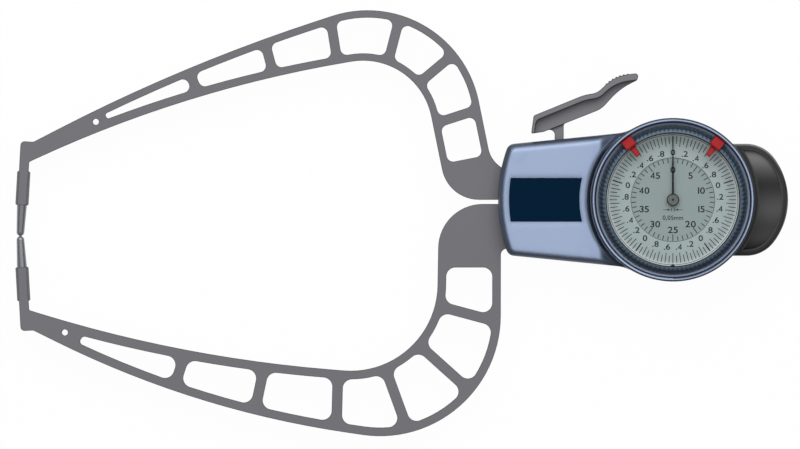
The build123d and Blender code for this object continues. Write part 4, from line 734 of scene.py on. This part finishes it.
def add_band(mesh, lower, upper):
    """The faces between two closed rows of points."""
    for i in range(len(lower)):
        j = (i + 1) % len(lower)
        mesh.faces.new((lower[i], lower[j], upper[j], upper[i]))


def add_plate(mesh, corners):
    """A patch with these corners, as thick as the ink."""
    low = [mesh.verts.new(corner) for corner in corners]
    high = [mesh.verts.new(corner + Vector((0, 0, INK_THICKNESS))) for corner in corners]
    mesh.faces.new(low[::-1])
    mesh.faces.new(high)
    add_band(mesh, low, high)


def add_bar(mesh, start, end, width):
    """A straight bar between two points."""
    along = (end - start).normalized()
    side = flat(-along.y, along.x) * width / 2
    add_plate(mesh, [start - side, end - side, end + side, start + side])


def add_ring(mesh, inner, outer):
    """A ring about the hands' axis."""
    rows = []
    for radius, z in ((inner, 0), (outer, 0), (outer, INK_THICKNESS), (inner, INK_THICKNESS)):
        points = [clock(i / RING_STEPS, radius) + Vector((0, 0, z)) for i in range(RING_STEPS)]
        rows.append([mesh.verts.new(point) for point in points])
    for lower, upper in zip(rows, rows[1:] + rows[:1]):
        add_band(mesh, lower, upper)


def letters(body, size, weight):
    """A mesh of some figures, as thick as the ink."""
    curve = bpy.data.curves.new("figures", "FONT")
    curve.body = body
    curve.size = size
    curve.extrude = INK_THICKNESS / 2
    curve.offset = weight
    holder = in_scene("figures", curve)
    shape = bpy.data.meshes.new_from_object(holder.evaluated_get(bpy.context.evaluated_depsgraph_get()))
    bpy.data.objects.remove(holder)
    bpy.data.curves.remove(curve)
    return shape


def extent(shape, axis):
    """The lowest and highest value of a mesh along an axis."""
    values = [getattr(vertex.co, axis) for vertex in shape.vertices]
    return min(values), max(values)


def digit_height_of_font():
    """How high a digit of size 1 is."""
    shape = letters("0", size=1.0, weight=0.0)
    low, high = extent(shape, "y")
    bpy.data.meshes.remove(shape)
    return high - low


DIGIT_SHARE = digit_height_of_font()


def open_four(height, weight):
    """A figure four with a wide opening, drawn with three bars."""
    width = FOUR_WIDTH * height
    stroke = FOUR_STROKE * height + 2 * weight
    stem_x = FOUR_STEM * width
    bar_y = FOUR_BAR * height
    mesh = bmesh.new()
    add_bar(mesh, flat(stem_x, 0), flat(stem_x, height), stroke)
    add_bar(mesh, flat(0, bar_y), flat(width, bar_y), stroke)
    add_bar(mesh, flat(stroke / 2, bar_y), flat(stem_x, height - stroke), stroke)
    bmesh.ops.translate(mesh, vec=(0, 0, -INK_THICKNESS / 2), verts=mesh.verts)
    shape = bpy.data.meshes.new("four")
    mesh.to_mesh(shape)
    mesh.free()
    return shape


def figure(character, height, weight):
    """One upright figure of a digit height."""
    if character == "4":
        return open_four(height, weight)
    return letters(character, height / DIGIT_SHARE, weight)


def add_text(mesh, body, centre, height, weight, stretch=DIGIT_STRETCH):
    """Upright figures of a digit height in a row, centred on a point."""
    shapes = [figure(character, height, weight) for character in body]
    spans = [extent(shape, "x") for shape in shapes]
    gap = FIGURE_GAP * height
    total = sum(right - left for left, right in spans) * stretch + gap * (len(body) - 1)
    x = centre.x - total / 2
    y = centre.y - height / 2
    for shape, (left, right) in zip(shapes, spans):
        place = Matrix.Translation((x - left * stretch, y, INK_THICKNESS / 2))
        shape.transform(place @ Matrix.Diagonal((stretch, 1, 1, 1)))
        mesh.from_mesh(shape)
        bpy.data.meshes.remove(shape)
        x += (right - left) * stretch + gap


def add_stop_and_arrow(mesh, side):
    """One side of the gap sign: an upright stop, and an arrow that points at it from outside."""
    stop = side * STOP_X
    head = side * (ARROW_POINT_X + ARROW_HEAD_LENGTH)
    wing = side * ARROW_HEAD_HALF_WIDTH
    add_bar(mesh, flat(stop, SIGN_Y - STOP_HALF_HEIGHT), flat(stop, SIGN_Y + STOP_HALF_HEIGHT), STOP_WIDTH)
    add_bar(mesh, flat(head, SIGN_Y), flat(side * ARROW_TAIL_X, SIGN_Y), ARROW_WIDTH)
    point = flat(side * ARROW_POINT_X, SIGN_Y)
    add_plate(mesh, [point, flat(head, SIGN_Y - wing), flat(head, SIGN_Y + wing)])


# Printed pieces, and the line of painted shade round the recess, which ride on the bezel with the dial

dial_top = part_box("dial_plate")[1].z - INK_SINK * MM
recess_floor = dial_top - RECESS_DEPTH * MM


def printed(name, mesh, material, height):
    """A finished printed piece at a height in metres."""
    bmesh.ops.recalc_face_normals(mesh, faces=mesh.faces)
    bmesh.ops.scale(mesh, vec=(MM, MM, MM), verts=mesh.verts)
    bmesh.ops.translate(mesh, vec=(0, 0, height), verts=mesh.verts)
    data = bpy.data.meshes.new(name)
    mesh.to_mesh(data)
    mesh.free()
    data.materials.append(material)
    piece = in_scene(name, data)
    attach(piece, "bezel")


def outer_scale(ink, zero_ink):
    """The hundred ticks of the outer scale; those at a 0 are heavy."""
    ticks = bmesh.new()
    zeros = bmesh.new()
    for i in range(OUTER_TICKS):
        turn = i / OUTER_TICKS
        length = OUTER_LONG_TICK if i % TICKS_PER_TENTH == 0 else OUTER_SHORT_TICK
        start = clock(turn, OUTER_TICK_END - length)
        end = clock(turn, OUTER_TICK_END)
        if i % TICKS_PER_ZERO == 0:
            add_bar(zeros, start, end, ZERO_TICK_WIDTH)
        else:
            add_bar(ticks, start, end, OUTER_TICK_WIDTH)
    printed("outer_scale_ticks", ticks, ink, dial_top)
    printed("outer_scale_zero_ticks", zeros, zero_ink, dial_top)


def outer_numerals(ink):
    """The numbers of the outer scale, five rounds of 0 .2 .4 .6 .8."""
    figures = bmesh.new()
    for i in range(0, OUTER_TICKS, TICKS_PER_NUMERAL):
        tenths = i % TICKS_PER_ZERO // TICKS_PER_TENTH
        body = "." + str(tenths) if tenths else "0"
        centre = clock(i / OUTER_TICKS, OUTER_NUMERAL_RADIUS)
        add_text(figures, body, centre, OUTER_DIGIT_HEIGHT, OUTER_DIGIT_WEIGHT)
    printed("outer_scale_numbers", figures, ink, dial_top)


def inner_scale(ink):
    """The fifty ticks and ten numbers of the inner scale, on the floor of the recess."""
    ticks = bmesh.new()
    figures = bmesh.new()
    for i in range(INNER_TICKS):
        turn = i / INNER_TICKS
        numbered = i % INNER_NUMERAL_STEP == 0
        length = INNER_LONG_TICK if numbered else INNER_SHORT_TICK
        start = clock(turn, INNER_TICK_END - length)
        end = clock(turn, INNER_TICK_END)
        add_bar(ticks, start, end, INNER_TICK_WIDTH)
        if numbered:
            centre = clock(turn, INNER_NUMERAL_RADIUS)
            add_text(figures, str(i), centre, INNER_DIGIT_HEIGHT, INNER_DIGIT_WEIGHT)
    printed("inner_scale_ticks", ticks, ink, recess_floor)
    printed("inner_scale_numbers", figures, ink, recess_floor)


def border_lines(ink):
    """The thin printed line round the edge of the dial, and the thin line of painted shade round its recess.
    """
    lines = bmesh.new()
    # The second ring is a line of painted shade at the edge of the recess
    for radius in (BORDER_RADIUS, RECESS_SHADE_LINE_RADIUS):
        add_ring(lines, radius - BORDER_WIDTH / 2, radius + BORDER_WIDTH / 2)
    printed("dial_border_lines", lines, ink, dial_top)


def gap_sign(ink):
    """The sign of a gap between two arrows, and the value of one tick under it."""
    sign = bmesh.new()
    for side in (-1, 1):
        add_stop_and_arrow(sign, side)
    add_text(sign, TICK_VALUE, flat(0, UNIT_Y), UNIT_DIGIT_HEIGHT, UNIT_DIGIT_WEIGHT, UNIT_STRETCH)
    printed("dial_gap_sign", sign, ink, recess_floor)


def print_dial():
    """All the print on the dial, and the line of painted shade round its recess."""
    plain = dial_ink("dial_ink", INK_GREY, depth=1)
    dark = dial_ink("dial_ink_dark", INK_BLACK, depth=1)
    faint = dial_ink("dial_ink_faint", INK_PALE_AND_SHADE, depth=4)
    outer_scale(plain, dark)
    outer_numerals(plain)
    inner_scale(plain)
    border_lines(faint)
    gap_sign(plain)


# Floor, light and camera

def floor_white():
    """White to the camera and in reflections, with the object's shadow, but dim in the light thrown back."""
    material = bpy.data.materials.new("floor_white")
    nodes = Nodes(material)
    shadowed = nodes.add("BsdfDiffuse")
    nodes.feed(shadowed.inputs["Color"], FLOOR_COLOUR)
    glow = nodes.add("Emission")
    bright = nodes.mix_shaders(FLOOR_GLOW, shadowed.outputs[0], glow.outputs[0])
    dim = nodes.add("BsdfDiffuse")
    nodes.feed(dim.inputs["Color"], FLOOR_BOUNCE)
    ray = nodes.add("LightPath").outputs
    shown = nodes.math("MAXIMUM", ray["Is Camera Ray"], ray["Is Glossy Ray"])
    shown = nodes.math("MAXIMUM", shown, ray["Is Transmission Ray"])
    surface = nodes.mix_shaders(shown, dim.outputs[0], bright)
    nodes.feed(nodes.add("OutputMaterial").inputs["Surface"], surface)
    return material


def background_floor():
    """A wide flat floor just under the object."""
    half = FLOOR_HALF_SIZE
    corners = [(-half, -half, 0), (half, -half, 0), (half, half, 0), (-half, half, 0)]
    data = bpy.data.meshes.new("floor")
    data.from_pydata(corners, [], [tuple(range(len(corners)))])
    data.materials.append(floor_white())
    floor = in_scene("floor", data)
    floor.location.z = cad_box[0].z - FLOOR_GAP


def tilted(tilt):
    """The direction from overhead tilted towards +Y."""
    return Vector((0, sin(radians(tilt)), cos(radians(tilt))))


def sky():
    """A studio sky: one wide bright cap overhead and dim sides."""
    world = bpy.data.worlds.new("studio")
    bpy.context.scene.world = world
    nodes = Nodes(world)
    direction = nodes.add("TexCoord").outputs["Generated"]
    nearness = nodes.vector("DOT_PRODUCT", direction, tilted(SKY_LEAN)).outputs["Value"]
    edge = cos(radians(SKY_EDGE_ANGLE))
    core = cos(radians(SKY_CORE_ANGLE))
    strength = nodes.ramp(nearness, edge, core, low=SKY_SIDES, high=SKY_CAP)
    back = nodes.add("Background")
    nodes.feed(back.inputs["Strength"], strength)
    nodes.feed(nodes.add("OutputWorld").inputs["Surface"], back.outputs[0])


def soft_box(name, tilt, power, size):
    """An area light above the dial side, tilted from overhead towards +Y, aimed at the object."""
    data = bpy.data.lights.new(name, "AREA")
    data.shape = "RECTANGLE"
    data.size, data.size_y = size
    data.energy = power
    light = in_scene(name, data)
    away = tilted(tilt)
    light.location = flat(*VIEW_CENTRE) * MM + away * LAMP_DISTANCE
    light.rotation_euler = away.to_track_quat("Z", "Y").to_euler()


def camera():
    """A long lens straight above the dial side, with the photograph's frame."""
    data = bpy.data.cameras.new("camera")
    data.lens = LENS
    data.sensor_width = SENSOR
    data.clip_start = CLIP_NEAR
    data.clip_end = CLIP_FAR
    view = in_scene("camera", data)
    distance = PHOTO_WIDTH * PIXEL * LENS / SENSOR
    view.location = Vector((*VIEW_CENTRE, FOCUS_HEIGHT + distance)) * MM
    bpy.context.scene.camera = view


dress_nodes()
winding_spring()
print_dial()
background_floor()
sky()
soft_box("key_light", KEY_TILT, KEY_POWER, KEY_SIZE)
soft_box("fill_light", FILL_TILT, FILL_POWER, FILL_SIZE)
camera()
bpy.context.scene.view_settings.view_transform = "Standard"
